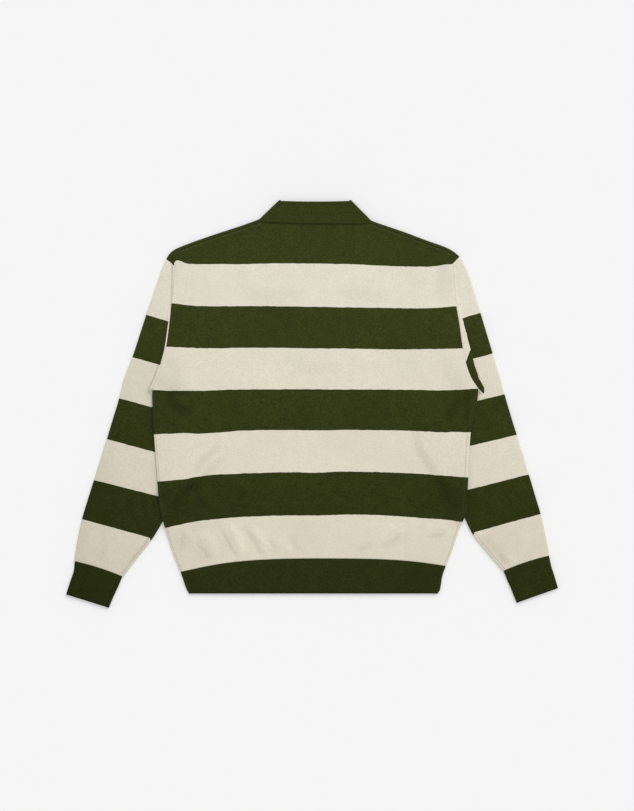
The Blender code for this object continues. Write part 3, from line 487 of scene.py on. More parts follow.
def body_stripe(x, y):
    """Stripe number on the body above the underarm."""
    first = min(BODY_STRIPES)
    lines = [curve(*np.transpose(BODY_STRIPES[number]), x) for number in sorted(BODY_STRIPES)]
    number = first - (y - lines[0]) / STRIPE_HEIGHT
    for k in range(len(lines) - 1):
        share = (lines[k] - y) / (lines[k] - lines[k + 1])
        number = np.where(share > 0.0, first + k + share, number)
    return np.maximum(number, FIRST_STRIPE)


def lower_stripe(x, courses):
    """Stripe number on the body below the underarm, row by row of knitting."""
    rows = np.repeat(courses[:, None], x.shape[1], axis=1)
    number = rows.copy()
    for line, places in LINE_DROPS.items():
        near = np.clip(1.0 - np.abs(rows - line), 0.0, 1.0)
        number -= near * curve(*np.transpose(places), x) / STRIPE_HEIGHT
    return number


def sleeve_stripe(x, y, lines):
    """Stripe number on a sleeve, from the lines between its stripes."""
    past = []
    for line in lines:
        across = line_place(x, y, line[1:3], line[3:])[1]
        past.append(across if line.outer_x > line.inner_x else -across)
    number = lines[0].number + past[0] / STRIPE_HEIGHT
    for line, here, below in zip(lines, past, past[1:]):
        share = np.clip(here / np.maximum(here - below, TINY), 0.0, MOST_SHARE)
        number = np.where(here > 0.0, line.number + share, number)
    return np.where(past[-1] > 0.0, lines[-1].number + past[-1] / STRIPE_HEIGHT, number)


def tuck_stripe(x, y, side):
    """Stripe number on the tuck beside an armhole: cream, then green past its line."""
    line = TUCK_LINES[side]
    past = (x - line.x) * line.across_x + (y - line.y) * line.across_y
    return np.clip(past / STRIPE_HEIGHT, -TUCK_LIMIT, TUCK_LIMIT)


# Walls -----------------------------------------------------------------------------------

# The four corners of every cell, as parts of a grid
CORNERS = [
    (slice(None, -1), slice(None, -1)), (slice(1, None), slice(None, -1)),
    (slice(None, -1), slice(1, None)), (slice(1, None), slice(1, None)),
]
# A grid's edges: the axis across each, and whether it is the last line along that axis
EDGES = [("top", 0, False), ("bottom", 0, True), ("start", 1, False), ("end", 1, True)]
EDGE_ROOM = 0.8                           # extra lines keep within this share of the first cell

RIM_BULGE = 0.12                          # the cut edge of a wall is rounded out by this
RIB_SHARES = [1.0, 0.0, 0.5]              # how much of a rib's depth outer, inner and rim take
NEAR_EDGE = [0.4, 0.9, 1.5]               # extra lines of points this near a seam
NECK_COLUMN = 93.2                        # columns further out than this reach the shoulder seam
NECK_ANGLES = 90.0, 6.0, 15               # columns round the neckline: first, last, how many
SLIT_COLUMNS = 0.0, 5.0, 10.0             # columns across the placket's slit
SEAM_DIP, DIP_WIDTH = 1.0, 1.4            # the line of a shoulder seam
Ridge = namedtuple("Ridge", "below width height")
# The ridges beside that line
SHOULDER_RIDGES = table_of(Ridge, (2.6, 1.3, 1.6), (6.0, 1.6, 1.0))
RIDGE_START, RIDGE_RISE = 14.0, 16.0      # they start this far in from its end, and rise over this
YOKE_HEIGHT = 245.0                       # from a shoulder down to the underarm
CLOSE_END, CLOSE_STEP, EVEN_START = 0.036, 0.0033, 0.044  # shares of it between rows of points
FOLLOW_START = 0.4                        # the front's lower wall has folds where it is raised
TUCK_POINTS, DROP_POINTS, TOP_POINTS, UNDER_POINTS, TURN_POINTS = 5, 9, 34, 14, 7
CUFF_ROWS, BAND_ROWS, STAND_ROWS, FALL_ROWS = 16, 12, 14, 16
# A wide tuck's fold wavers
Waver = namedtuple("Waver", "height length start")
TUCK_WAVERS = table_of(Waver, (0.25, 3.7, 0.0), (0.2, 1.9, 1.0))
STEADY_TUCK, WAVER_RISE = 2.0, 4.0        # up to this width it is steady, then wavers more
JOIN_SHARES = 0.25, 0.5, 0.75             # sections between the sleeve's cap and the arm
ARM_STEP = 0.13                           # sections of the arm, in rows of its table
CUFF_BOW, CUFF_BOW_REACH = 2.3, 14.0      # how far a cuff's seam bows, and how far that reaches
CUFF_STRIPE, CUFF_STRIPES = 0.2, 0.6      # where a cuff's rows of stitches start, and their run
COLLAR_STRIPES = 0.1, 0.95                # where the collar's start and end
COLLAR_SHADE = -0.7                       # painted shade: the tight collar is darkened as a trough this deep is
BACK_STRIPS, FRONT_STRIPS = 25, 10        # strips across the collar's back and each front part


def with_edge_lines(grid, cells, edges):
    """Add lines of points just inside the edges that are sewn; tells how many come first."""
    added = 0
    for name, axis, is_last in EDGES:
        if name not in edges:
            continue
        if is_last:
            grid, cells = np.flip(grid, axis), np.flip(cells, axis)
        edge, inner = np.take(grid, [0], axis), np.take(grid, [1], axis)
        length = np.linalg.norm((inner - edge)[..., :3], axis=-1).mean()
        aways = [away / length for away in NEAR_EDGE if away < EDGE_ROOM * length]
        near = [mix(edge, inner, away) for away in aways]
        rest = np.take(grid, range(1, grid.shape[axis]), axis)
        grid = np.concatenate([edge, *near, rest], axis)
        beside = np.repeat(np.take(cells, [0], axis), len(near), axis)
        cells = np.concatenate([beside, cells], axis)
        if is_last:
            grid, cells = np.flip(grid, axis), np.flip(cells, axis)
        elif axis == 1:
            added = len(near)
    return grid, cells, added


def seam_thickness(points, edges):
    """Share of the outer half of the wall that is left, less beside a seam."""
    ways = run_lengths(points, 0), run_lengths(points, 1)
    away = np.full(points.shape[:2], SEAM_ROLL)
    for name, axis, is_last in EDGES:
        if name in edges:
            way = ways[axis]
            away = np.minimum(away, np.take(way, [-1], axis) - way if is_last else way)
    return 1.0 - (1.0 - SEAM_THIN) * (1.0 - away / SEAM_ROLL) ** 2


def unit(arrows):
    """The same directions, each of length 1."""
    return arrows / np.maximum(np.linalg.norm(arrows, axis=2, keepdims=True), TINY)


def grid_normals(points, cells):
    """Direction square to the surface at each point, from the cloth round it."""
    diagonal_a = points[1:, 1:] - points[:-1, :-1]
    diagonal_b = points[1:, :-1] - points[:-1, 1:]
    faces = np.cross(diagonal_a, diagonal_b) * cells[..., None]
    total = np.zeros_like(points)
    for corner in CORNERS:
        total[corner] += faces
    return unit(total)


def rim_directions(points, cells, normals):
    """Direction out of the cloth at the points on its edges."""
    centres = sum(points[corner] for corner in CORNERS) / len(CORNERS)
    out = np.zeros_like(points)
    for corner in CORNERS:
        out[corner] += unit(points[corner] - centres) * cells[..., None]
    return unit(out - normals * (out * normals).sum(axis=2, keepdims=True))


def put_in_scene(name, content):
    """A new object in the scene."""
    made = bpy.data.objects.new(name, content)
    bpy.context.scene.collection.objects.link(made)
    return made


def cell_edges(cells):
    """Edges of the cloth, each as two grid places in the order of the cells' winding."""
    around = np.pad(cells, 1)
    lines = []
    for row_step, column_step, start, end in (
        (-1, 0, (0, 0), (0, 1)), (0, 1, (0, 1), (1, 1)),
        (1, 0, (1, 1), (1, 0)), (0, -1, (1, 0), (0, 0)),
    ):
        beyond = around[
            1 + row_step:around.shape[0] - 1 + row_step,
            1 + column_step:around.shape[1] - 1 + column_step,
        ]
        rows, columns = np.nonzero((cells > 0) & (beyond == 0))
        lines.append(np.stack([
            rows + start[0], columns + start[1], rows + end[0], columns + end[1], rows, columns,
        ], axis=1))
    return np.concatenate(lines)


def wall(name, grid, outward, edges=(), cells=None, thickness=WALL, centre=0):
    """A closed wall round a middle surface, with its wales and stripe numbers as a UV map.

    grid holds x, y, z, the folds' height and one or two stripe numbers at each point. outward
    is 1 or -1: which side of the surface faces out. Cells are 0 where there is no cloth, and 2
    where it follows the second stripe number. The wales are counted from the centre column.
    """
    if cells is None:
        cells = np.ones((grid.shape[0] - 1, grid.shape[1] - 1), dtype=int)
    grid, cells, added = with_edge_lines(grid, cells, edges)
    cloth = cells > 0
    centre = centre + added if centre else grid.shape[1] // 2
    points = grid[..., :3]
    normals = grid_normals(points, cloth) * outward
    outer = points + normals * (thickness / 2 * seam_thickness(points, edges))[..., None]
    inner = points - normals * (thickness / 2)
    middle = points + rim_directions(points, cloth, normals) * RIM_BULGE
    count = points.shape[0] * points.shape[1]
    number = np.arange(count).reshape(points.shape[:2])
    rows, columns = np.nonzero(cells)
    a, b = number[rows, columns], number[rows, columns + 1]
    c, d = number[rows + 1, columns + 1], number[rows + 1, columns]
    quads = np.stack([a, b, c, d], axis=1)
    edge = cell_edges(cells)
    p, q = number[edge[:, 0], edge[:, 1]], number[edge[:, 2], edge[:, 3]]
    upper = np.stack([q, p, p + 2 * count, q + 2 * count], axis=1)
    lower = np.stack([q + 2 * count, p + 2 * count, p + count, q + count], axis=1)
    faces = np.concatenate([quads, quads[:, ::-1] + count, upper, lower])
    kinds, edge_kinds = cells[rows, columns], cells[edge[:, 4], edge[:, 5]]
    kinds = np.concatenate([kinds, kinds, edge_kinds, edge_kinds])
    if outward < 0:
        faces = faces[:, ::-1]
    used, compact = np.unique(faces, return_inverse=True)
    places = np.concatenate([part.reshape(-1, 3) for part in (outer, inner, middle)])[used]
    mesh = bpy.data.meshes.new(name)
    mesh.from_pydata((places * MM).tolist(), [], compact.reshape(faces.shape).tolist())
    wales = run_lengths(points, 1)
    wales = wales - wales[:, centre][:, None]
    stripes = np.stack([grid[..., 4], grid[..., -1]])
    at = faces % count
    stripe = np.where((kinds == 2)[:, None], stripes[1].ravel()[at], stripes[0].ravel()[at])
    knit = np.stack([wales.ravel()[at] * MM, stripe], axis=2)
    mesh.uv_layers.new(name="knit").data.foreach_set("uv", knit.ravel())
    # The fold attribute holds the folds' height; the knit paints shade in troughs and light on
    # ridges from it.
    for label, values in (
        ("outer", np.repeat(RIB_SHARES, count)),
        ("fold", np.tile(grid[..., 3].ravel(), 3)),
        ("wale", np.tile(wales.ravel() * MM, 3)),
    ):
        mesh.attributes.new(label, "FLOAT", "POINT").data.foreach_set("value", values[used])
    mesh.shade_smooth()
    return put_in_scene(name, mesh)


# Body ------------------------------------------------------------------------------------

def body_columns(step):
    """Places across the body, from the left underarm to the right one."""
    angles = np.radians(np.linspace(*NECK_ANGLES))
    outs = SLIT_HALF_WIDTH + (NECK_OUT - SLIT_HALF_WIDTH) * np.cos(angles)
    ease = NECK_EASE * smooth((outs - STRAIGHT_REACH) / (REACH - STRAIGHT_REACH))
    outer = np.linspace(NECK_COLUMN, REACH, int((REACH - NECK_COLUMN) / step) + 1)
    half = np.concatenate([SLIT_COLUMNS, outs * (1.0 + ease), outer])
    return np.concatenate([-half[:0:-1], half])


def column_x(outs, side_x):
    """Where columns lie on rows whose sides are at side_x."""
    side = np.where(outs < 0, -1.0, 1.0)
    stretch = (side_x - CENTRE_X) / (side * REACH) - 1.0
    share = smooth((np.abs(outs) - STRAIGHT_REACH) / (REACH - STRAIGHT_REACH))
    return CENTRE_X + outs * (1.0 + stretch * share)


def shoulder_y(x):
    """Height of the shoulder's folded edge."""
    outs = [row.out for row in SHOULDERS]
    out = np.abs(x - CENTRE_X)
    left = curve(outs, [row.left_height for row in SHOULDERS], out)
    right = curve(outs, [row.right_height for row in SHOULDERS], out)
    return np.where(x < CENTRE_X, left, right)


def back_top_y(x, drop=SHOULDER_WRAP):
    """The back's upper edge: the neckline, then the shoulder seam."""
    share = np.minimum(np.abs(x - CENTRE_X) / NECK_OUT, 1.0)
    return mix(BACK_NECK_Y, shoulder_y(x) - drop, share ** NECK_POWER)


def front_top_y(x, drop):
    """The front's neckline, then a line that lies drop below the shoulder's edge."""
    out = np.abs(x - CENTRE_X)
    reach = np.clip((out - SLIT_HALF_WIDTH) / (NECK_OUT - SLIT_HALF_WIDTH), 0.0, 1.0)
    end = shoulder_y(x) - drop
    return mix(end, FRONT_NECK_Y, np.sqrt(1.0 - reach ** 2))


def armhole_x(side, height):
    """Where the back and front end at the armhole, half a seam gap short of the seam."""
    return edge_value(ARMHOLES, side, height) - side * SEAM_GAP / 2


def armhole_y(side, down, drop=SHOULDER_WRAP):
    """Height at which an upper row meets the armhole."""
    top_x = edge_value(ARMHOLES, side, ARMHOLES[0].height)
    return mix(shoulder_y(top_x) - drop, LAST_UPPER_Y, down)


def upper_plan(outs, down, top_y, drop):
    """Plan of the rows between the shoulders and the underarms."""
    down, drop = down[:, None], drop[:, None]
    side = np.where(outs < 0, -1, 1) * np.ones_like(down)
    top_x = column_x(outs, armhole_x(side, armhole_y(side, 0.0 * down, drop)))
    x = column_x(outs, armhole_x(side, armhole_y(side, down, drop)))
    return x, mix(top_y(top_x, drop), LAST_UPPER_Y, down)


def course_heights(course):
    """Left, middle and right heights of rows of knitting."""
    at = list(range(len(COURSES)))
    return [curve(at, [row[k] for row in COURSES], course)[:, None] for k in range(3)]


def lower_plan(outs, course, sewn, narrower):
    """Plan of the rows between the underarms and the hem, to the side seams where they are sewn.

    Else they end where the front's lower wall starts to fold up at the sides.
    """
    left, middle, right = course_heights(course)
    side = np.where(outs < 0, -1, 1) * np.ones_like(left)
    side_y = np.where(side < 0, left, right)
    inset = edge_value(SIDE_SEAM_INSETS, side, side_y) + SEAM_GAP if sewn else FOLD_EDGE
    x = column_x(outs, edge_value(SIDES, side, side_y) - side * (narrower + inset))
    low = smooth(course - BAND_COURSE + 1.0)[:, None]
    bow = mix(COURSE_BOW, np.where(side < 0, BAND_BOWS[0], BAND_BOWS[1]), low)
    return x, mix(middle, side_y, np.abs(outs / REACH) ** bow)


def body_courses(step, is_band):
    """Courses of a panel or of its hem band, and how much narrower they are at each side."""
    if is_band:
        return np.linspace(BAND_COURSE, len(COURSES) - 1.0, BAND_ROWS), BAND_NARROWER
    end = COURSES[BAND_COURSE].middle
    last = BAND_COURSE - SEAM_GAP / (COURSES[BAND_COURSE - 1].middle - end)
    return np.linspace(0.0, last, int((UNDERARM_Y - end) / step)), 0.0


def upper_shares(step):
    """Rows above the underarm: close together by the shoulder seam, then even."""
    close = np.arange(0.0, CLOSE_END, CLOSE_STEP)
    even = np.arange(EVEN_START, 1.0, step / YOKE_HEIGHT)
    return np.union1d(np.concatenate([close, even]), [SLIT_END, 1.0])


def shoulder_ridges(x, y):
    """The line of the shoulder seams on the back, and the two ridges beside it."""
    below = back_top_y(x) - y
    height = -SEAM_DIP * np.exp(-(below / DIP_WIDTH) ** 2)
    for ridge in SHOULDER_RIDGES:
        height += ridge.height * np.exp(-((below - ridge.below) / ridge.width) ** 2)
    return height * smooth((np.abs(x - CENTRE_X) - NECK_OUT + RIDGE_START) / RIDGE_RISE)


def back_grid(step, is_band, strength):
    """The back's middle surface, or its hem band's, with the stripe numbers."""
    outs = body_columns(step)
    courses, narrower = body_courses(step, is_band)
    x, y = lower_plan(outs, courses, True, narrower)
    stripe = lower_stripe(x, courses)
    if not is_band:
        down = upper_shares(step)
        top_x, top_y = upper_plan(outs, down, back_top_y, np.full_like(down, SHOULDER_WRAP))
        x, y = np.concatenate([top_x, x]), np.concatenate([top_y, y])
        stripe = np.concatenate([body_stripe(top_x, top_y), stripe])
    folds = fold_heights(x, y, BODY_CREASES, strength)
    if not is_band:
        # The shoulder's dip and ridges raise the cloth and also paint shade in the dip and light
        # on the ridges.
        folds = folds + strength * shoulder_ridges(x, y)
    z = lift(x, y) + FOLD_EDGE + HALF_PITCH + relief(folds, strength)
    return np.stack([x, y, z, folds, stripe], axis=2)


def front_grid(step, is_band, strength):
    """The front's middle surface, with its wraps at the sides and over the shoulders."""
    outs = body_columns(step)
    courses, narrower = body_courses(step, is_band)
    wrap = len(TURNS)
    x, y = lower_plan(outs, courses, False, narrower)
    left, _, right = course_heights(courses)
    sides = []
    for side, side_y in ((-1, left), (1, right)):
        edge = edge_value(SIDES, side, side_y) - side * narrower
        seam = edge - side * edge_value(SIDE_SEAM_INSETS, side, side_y)
        ring_x = edge - side * FOLD_EDGE + side * HALF_PITCH * np.sin(TURNS[1:])
        ring_x = np.concatenate([ring_x, seam], axis=1)
        sides.append((ring_x, np.repeat(side_y, wrap, axis=1)))
    (left_x, left_y), (right_x, right_y) = sides
    x = np.concatenate([left_x[:, ::-1], x, right_x], axis=1)
    y = np.concatenate([left_y[:, ::-1], y, right_y], axis=1)
    ring_rise = np.append(-HALF_PITCH * np.cos(TURNS[1:]), HALF_PITCH)
    rise = np.concatenate([ring_rise[::-1], np.full(len(outs), -HALF_PITCH), ring_rise])
    rise = np.tile(rise, (len(courses), 1))
    stripe = lower_stripe(x, courses)
    if not is_band:
        down = upper_shares(step)
        drop = mix(FOLD_EDGE, SHOULDER_WRAP, np.clip(down / UPPER_SHARES[1], 0.0, 1.0))
        top_x, top_y = upper_plan(outs, down, front_top_y, drop)
        over_y = [top_y[0] + HALF_PITCH * math.sin(turn) for turn in TURNS[1:]]
        over_y.append(top_y[0] + FOLD_EDGE - SHOULDER_WRAP + SEAM_GAP)
        top_y = np.concatenate([np.array(over_y[::-1]), top_y])
        top_x = np.concatenate([np.repeat(top_x[:1], wrap, axis=0), top_x])
        top_rise = np.full_like(top_x, -HALF_PITCH)
        top_rise[:wrap] = ring_rise[::-1, None]
        beside = ((0, 0), (wrap, wrap))
        top_x, top_y = np.pad(top_x, beside, "edge"), np.pad(top_y, beside, "edge")
        top_rise = np.pad(top_rise, beside, "edge")
        x, y = np.concatenate([top_x, x]), np.concatenate([top_y, y])
        rise = np.concatenate([top_rise, rise])
        stripe = np.concatenate([body_stripe(top_x, top_y), stripe])
    folds = fold_heights(x, y, BODY_CREASES, strength)
    height, raised = relief(folds, strength), lift(x, y)
    lower = np.maximum(height, 0.0) * smooth(raised + FOLLOW_START)
    z = raised + FOLD_EDGE + rise + mix(lower, height, 0.5 + 0.5 * rise / HALF_PITCH)
    return np.stack([x, y, z, folds, stripe], axis=2)


def front_cells(grid, step):
    """Which cells of the front are cloth: no neck opening, no slit, no wrap at the armholes."""
    outs, down = np.abs(body_columns(step)), upper_shares(step)
    wrap = len(TURNS)
    cells = np.ones((grid.shape[0] - 1, grid.shape[1] - 1), dtype=int)
    upper = wrap + len(down)
    cells[:upper, :wrap] = 0
    cells[:upper, -wrap:] = 0
    near = np.maximum(outs[:-1], outs[1:])
    main = cells[:, wrap:wrap + len(near)]
    main[:wrap] &= near > NECK_COLUMN + TINY
    slit = wrap + int(np.searchsorted(down, SLIT_END))
    main[:slit] &= near > SLIT_HALF_WIDTH + TINY
    return cells


# Sleeves and cuffs -----------------------------------------------------------------------

def section(inner, outer, start=SLEEVE_SEAM_INSET, rise=0.0, tuck=LEAST_TUCK):
    """One section of a flat sleeve, from its seam over the top, round and back to the seam."""
    inner, outer = np.array(inner), np.array(outer)
    width = float(np.hypot(*(outer - inner)))
    far = width - FOLD_EDGE
    end = FOLD_EDGE if start > 0.0 else 0.0
    drop = tuck + TUCK_DROP * np.linspace(0.0, 1.0, DROP_POINTS)[1:]
    steps = np.concatenate([tuck * np.linspace(0.0, 1.0, TUCK_POINTS), drop])
    near = start + steps * min(1.0, (NARROW_SHARE * far - start) / steps[-1])
    top = np.concatenate([near, mix(near[-1], far, np.linspace(0.0, 1.0, TOP_POINTS)[1:])])
    turn_in = max(min(tuck + UNDER_SLOPE, NARROW_SHARE * far), end + 2.0 * LEVEL_END)
    under = np.concatenate([
        mix(far, turn_in, np.linspace(0.0, 1.0, UNDER_POINTS)[1:]),
        mix(turn_in, end + LEVEL_END, np.linspace(0.0, 1.0, TURN_POINTS)[1:]), [end],
    ])
    fallen = smooth((under - LEVEL_END) / (tuck + UNDER_SLOPE - LEVEL_END))
    sine, cosine = HALF_PITCH * np.sin(TURNS[1:]), HALF_PITCH * np.cos(TURNS[1:])
    distance = [top, far + sine, under, end - sine, [max(start - SEAM_GAP, end)]]
    level = [
        HALF_PITCH + rise * (1.0 - smooth((top - tuck) / TUCK_DROP)), cosine,
        -HALF_PITCH + rise * (1.0 - fallen), rise - cosine, [HALF_PITCH + rise],
    ]
    plan = inner + (outer - inner) / width * np.concatenate(distance)[:, None]
    return np.concatenate([plan, FOLD_EDGE + np.concatenate(level)[:, None]], axis=1)


def table_rows(rows, at):
    """Read the columns of a table of sections at any places along it."""
    places = list(range(len(rows)))
    return np.stack([curve(places, [row[k] for row in rows], at) for k in range(len(rows[0]))], 1)


def cuff_seam_bow(x, y, arm):
    """How far the seam between a sleeve and its cuff bows up the arm in its middle."""
    share, away = line_place(x, y, arm[-1][:2], arm[-1][2:])
    share = np.clip(share, 0.0, 1.0)
    return CUFF_BOW * 4.0 * share * (1.0 - share) * np.exp(-(away / CUFF_BOW_REACH) ** 2)


def fold_sleeve(grid, sleeve, strength):
    """Raise the folds of a sleeve or cuff, bow its seam, and tell the folds' height on top."""
    x, y, z = grid[..., 0], grid[..., 1], grid[..., 2]
    above = smooth(z - FOLD_EDGE)
    folds = fold_heights(x, y, sleeve.creases, strength)
    grid[..., 2] = z + above * relief(folds, strength)
    grid[..., 1] += cuff_seam_bow(x, y, sleeve.arm)
    return above * folds


def sleeve_grid(sleeve, strength):
    """A sleeve's middle surface with its stripe numbers, and which of its cells are cloth."""
    side, cap, arm = sleeve.side, sleeve.cap, sleeve.arm
    down = np.append(np.arange(0.0, 1.0, SLEEVE_STEP / YOKE_HEIGHT), 1.0)
    outer_x = curve(UPPER_SHARES, [row.outer_x for row in cap], down)
    outer_y = curve(UPPER_SHARES, [row.outer_y for row in cap], down)
    height = armhole_y(side, down)
    x = edge_value(ARMHOLES, side, height) + side * SEAM_GAP / 2
    tucks = edge_value(TUCKS, side, height)
    wave = sum(row.height * np.sin(height / row.length + row.start) for row in TUCK_WAVERS)
    tucks = tucks + wave * smooth((tucks - STEADY_TUCK) / WAVER_RISE)
    rows = [
        section((x_in, y_in), (x_out, y_out), 0.0, rise, float(tuck))
        for x_in, y_in, x_out, y_out, rise, tuck in zip(
            x, height, outer_x, outer_y, lift(x, height), tucks
        )
    ]
    first = section(arm[0][:2], arm[0][2:])
    rows += [mix(rows[-1], first, share) for share in JOIN_SHARES]
    last = len(arm) - 1.0
    sections = table_rows(arm, np.append(np.arange(0.0, last, ARM_STEP), last))
    grid = np.array(rows + [section(row[:2], row[2:]) for row in sections])
    folds = fold_sleeve(grid, sleeve, strength)
    x, y = grid[..., 0], grid[..., 1]
    cells = np.ones((len(grid) - 1, grid.shape[1] - 1), dtype=int)
    beyond = slice(-len(TURNS), None)
    cells[:len(down) - 1, beyond] = 0
    wide = np.nonzero(np.pad(tucks, (0, len(JOIN_SHARES)), "edge") > PLAIN_TUCK)[0]
    cells[wide, :TUCK_SHOWN[side]] = 2
    stripe = sleeve_stripe(x, y, sleeve.lines)
    from_seam = np.hypot(x[:, beyond] - x[:, -1:], y[:, beyond] - y[:, -1:])
    stripe[:, beyond] -= SEAM_STEP * from_seam / STRIPE_HEIGHT
    more = np.stack([folds, stripe, tuck_stripe(x, y, side)], axis=2)
    return np.concatenate([grid, more], axis=2), cells


def cuff_grid(sleeve, strength):
    """A cuff's middle surface: it starts narrower than the sleeve, a seam gap past it."""
    inner, outer = np.array(sleeve.arm[-1][:2]), np.array(sleeve.arm[-1][2:])
    across = (outer - inner) / np.hypot(*(outer - inner))
    down_arm = np.array((across[1], -across[0])) * math.copysign(1.0, across[0])
    start = inner + down_arm * SEAM_GAP + across * CUFF_NARROWER
    end = outer + down_arm * SEAM_GAP - across * CUFF_NARROWER
    rows = [ArmSection(*start, *end)] + sleeve.cuff
    places = table_rows(rows, np.linspace(0.0, len(rows) - 1, CUFF_ROWS))
    grid = respace(np.array([section(row[:2], row[2:]) for row in places]), RIB_STEP)
    folds = fold_sleeve(grid, sleeve, strength)
    stripe = BAND_COURSE + CUFF_STRIPE + np.linspace(0.0, CUFF_STRIPES, len(grid))[:, None]
    more = np.stack([folds, stripe + np.zeros_like(folds)], axis=2)
    return np.concatenate([grid, more], axis=2)


# Collar ----------------------------------------------------------------------------------

def between(start, end, share):
    """The place this share of the way from start to end."""
    return mix(np.array(start), np.array(end), share)


def collar_strip(fold, stand, fall, out):
    """The collar's middle surface along one line from the neck seam over the fold to the edge."""
    out = np.array(out)
    radius = (FALL_LEVEL - STAND_LEVEL) / 2
    up = (fold - fall) / np.hypot(*(fold - fall))
    stand_shares = np.linspace(1.0, 0.0, STAND_ROWS)[:-1]
    strip = [(between(fold, stand, share), STAND_LEVEL) for share in stand_shares]
    for turn in TURNS:
        level = mix(STAND_LEVEL, FALL_LEVEL, 0.5) - radius * math.cos(turn)
        strip.append((fold + up * radius * math.sin(turn), level))
    fall_shares = np.linspace(0.0, 1.0, FALL_ROWS)[1:]
    strip += [(between(fold, fall, share), FALL_LEVEL) for share in fall_shares]
    middle = OVER_COLLAR + FOLD_EDGE
    return [(*(plan + out[:2] * level), middle + out[2] * level) for plan, level in strip]


def collar_front(row):
    """The collar's strips on the front, from the throat to the crease."""
    strips = []
    for angle in np.linspace(90.0, LAST_NECK_ANGLE, FRONT_STRIPS):
        turn, share = math.radians(angle), 1.0 - angle / 90.0
        reach = SLIT_HALF_WIDTH + (NECK_OUT - SLIT_HALF_WIDTH) * math.cos(turn)
        x = CENTRE_X + row.side * reach
        y = float(front_top_y(np.array(x), FOLD_EDGE)) + SEAM_GAP * math.sin(turn)
        stand = (x - row.side * SEAM_GAP * math.cos(turn), y)
        fold, fall = between(row.throat, row.fold, share), between(row.point, row.fall, share)
        strips.append(collar_strip(fold, stand, fall, (0.0, 0.0, -1.0)))
    return strips


def collar_crease(row):
    """The strips round the crease at one side of the neck, from the front to the back."""
    fold, fall = np.array(row.fold), np.array(row.fall)
    along = (fall - fold) / np.hypot(*(fall - fold))
    outward = np.array((along[1], -along[0])) * -row.side
    strips = []
    for turn in TURNS:
        out = (*(outward * math.sin(turn)), -math.cos(turn))
        drawn = fold - outward * CORNER_EASE * math.sin(turn)
        spread = fall + outward * END_SPREAD * math.sin(turn)
        strips.append(collar_strip(drawn, row.stand, spread, out))
    return strips


def collar_back():
    """The collar's strips across the back, between the creases."""
    left, right = COLLAR_SIDES
    reach = CENTRE_X - left.stand[0]
    strips = []
    for out in np.linspace(-reach, reach, BACK_STRIPS)[1:-1]:
        share = 0.5 + 0.5 * out / reach
        sag = 1.0 - (2.0 * share - 1.0) ** 2
        fold = between(left.fold, right.fold, share) - (0.0, FOLD_SAG * sag)
        fall = between(left.fall, right.fall, share) - (0.0, FALL_SAG * sag)
        x = CENTRE_X + out
        stand = (x, float(back_top_y(np.array(x))) + SEAM_GAP)
        strips.append(collar_strip(fold, stand, fall, (0.0, 0.0, 1.0)))
    return strips


def collar_grid():
    """The collar's middle surface, its rows along the collar and its columns across the ribs."""
    left, right = COLLAR_SIDES
    strips = collar_front(left) + collar_crease(left) + collar_back()
    strips += collar_crease(right)[::-1] + collar_front(right)[::-1]
    grid = respace(np.array(strips).transpose(1, 0, 2), RIB_STEP)
    # The collar's fold value gives it no height; it is only painted shade.
    more = np.full(grid.shape[:2] + (2,), COLLAR_SHADE)
    more[..., 1] = BAND_COURSE + np.linspace(*COLLAR_STRIPES, len(grid))[:, None]
    return np.concatenate([grid, more], axis=2)


# Node graphs -----------------------------------------------------------------------------

class Value:
    """A number in a node graph. Sums on it add the graph's Math nodes."""

    def __init__(self, graph, socket):
        self.graph, self.socket = graph, socket

    def maths(self, operation, *others):
        """The result of a Math node on this number and up to two more."""
        values = dict(enumerate((self,) + others))
        return self.graph.value("ShaderNodeMath", {"operation": operation}, values)

    def __add__(self, other):
        return self.maths("ADD", other)

    def __sub__(self, other):
        return self.maths("SUBTRACT", other)

    def __mul__(self, other):
        return self.maths("MULTIPLY", other)

    def __truediv__(self, other):
        return self.maths("DIVIDE", other)

    def __pow__(self, other):
        return self.maths("POWER", other)

    def __gt__(self, other):
        return self.maths("GREATER_THAN", other)

    def __neg__(self):
        return self.maths("MULTIPLY", -1.0)

    def __abs__(self):
        return self.maths("ABSOLUTE")

    def __rsub__(self, other):
        return -self + other

    __radd__ = __add__
    __rmul__ = __mul__


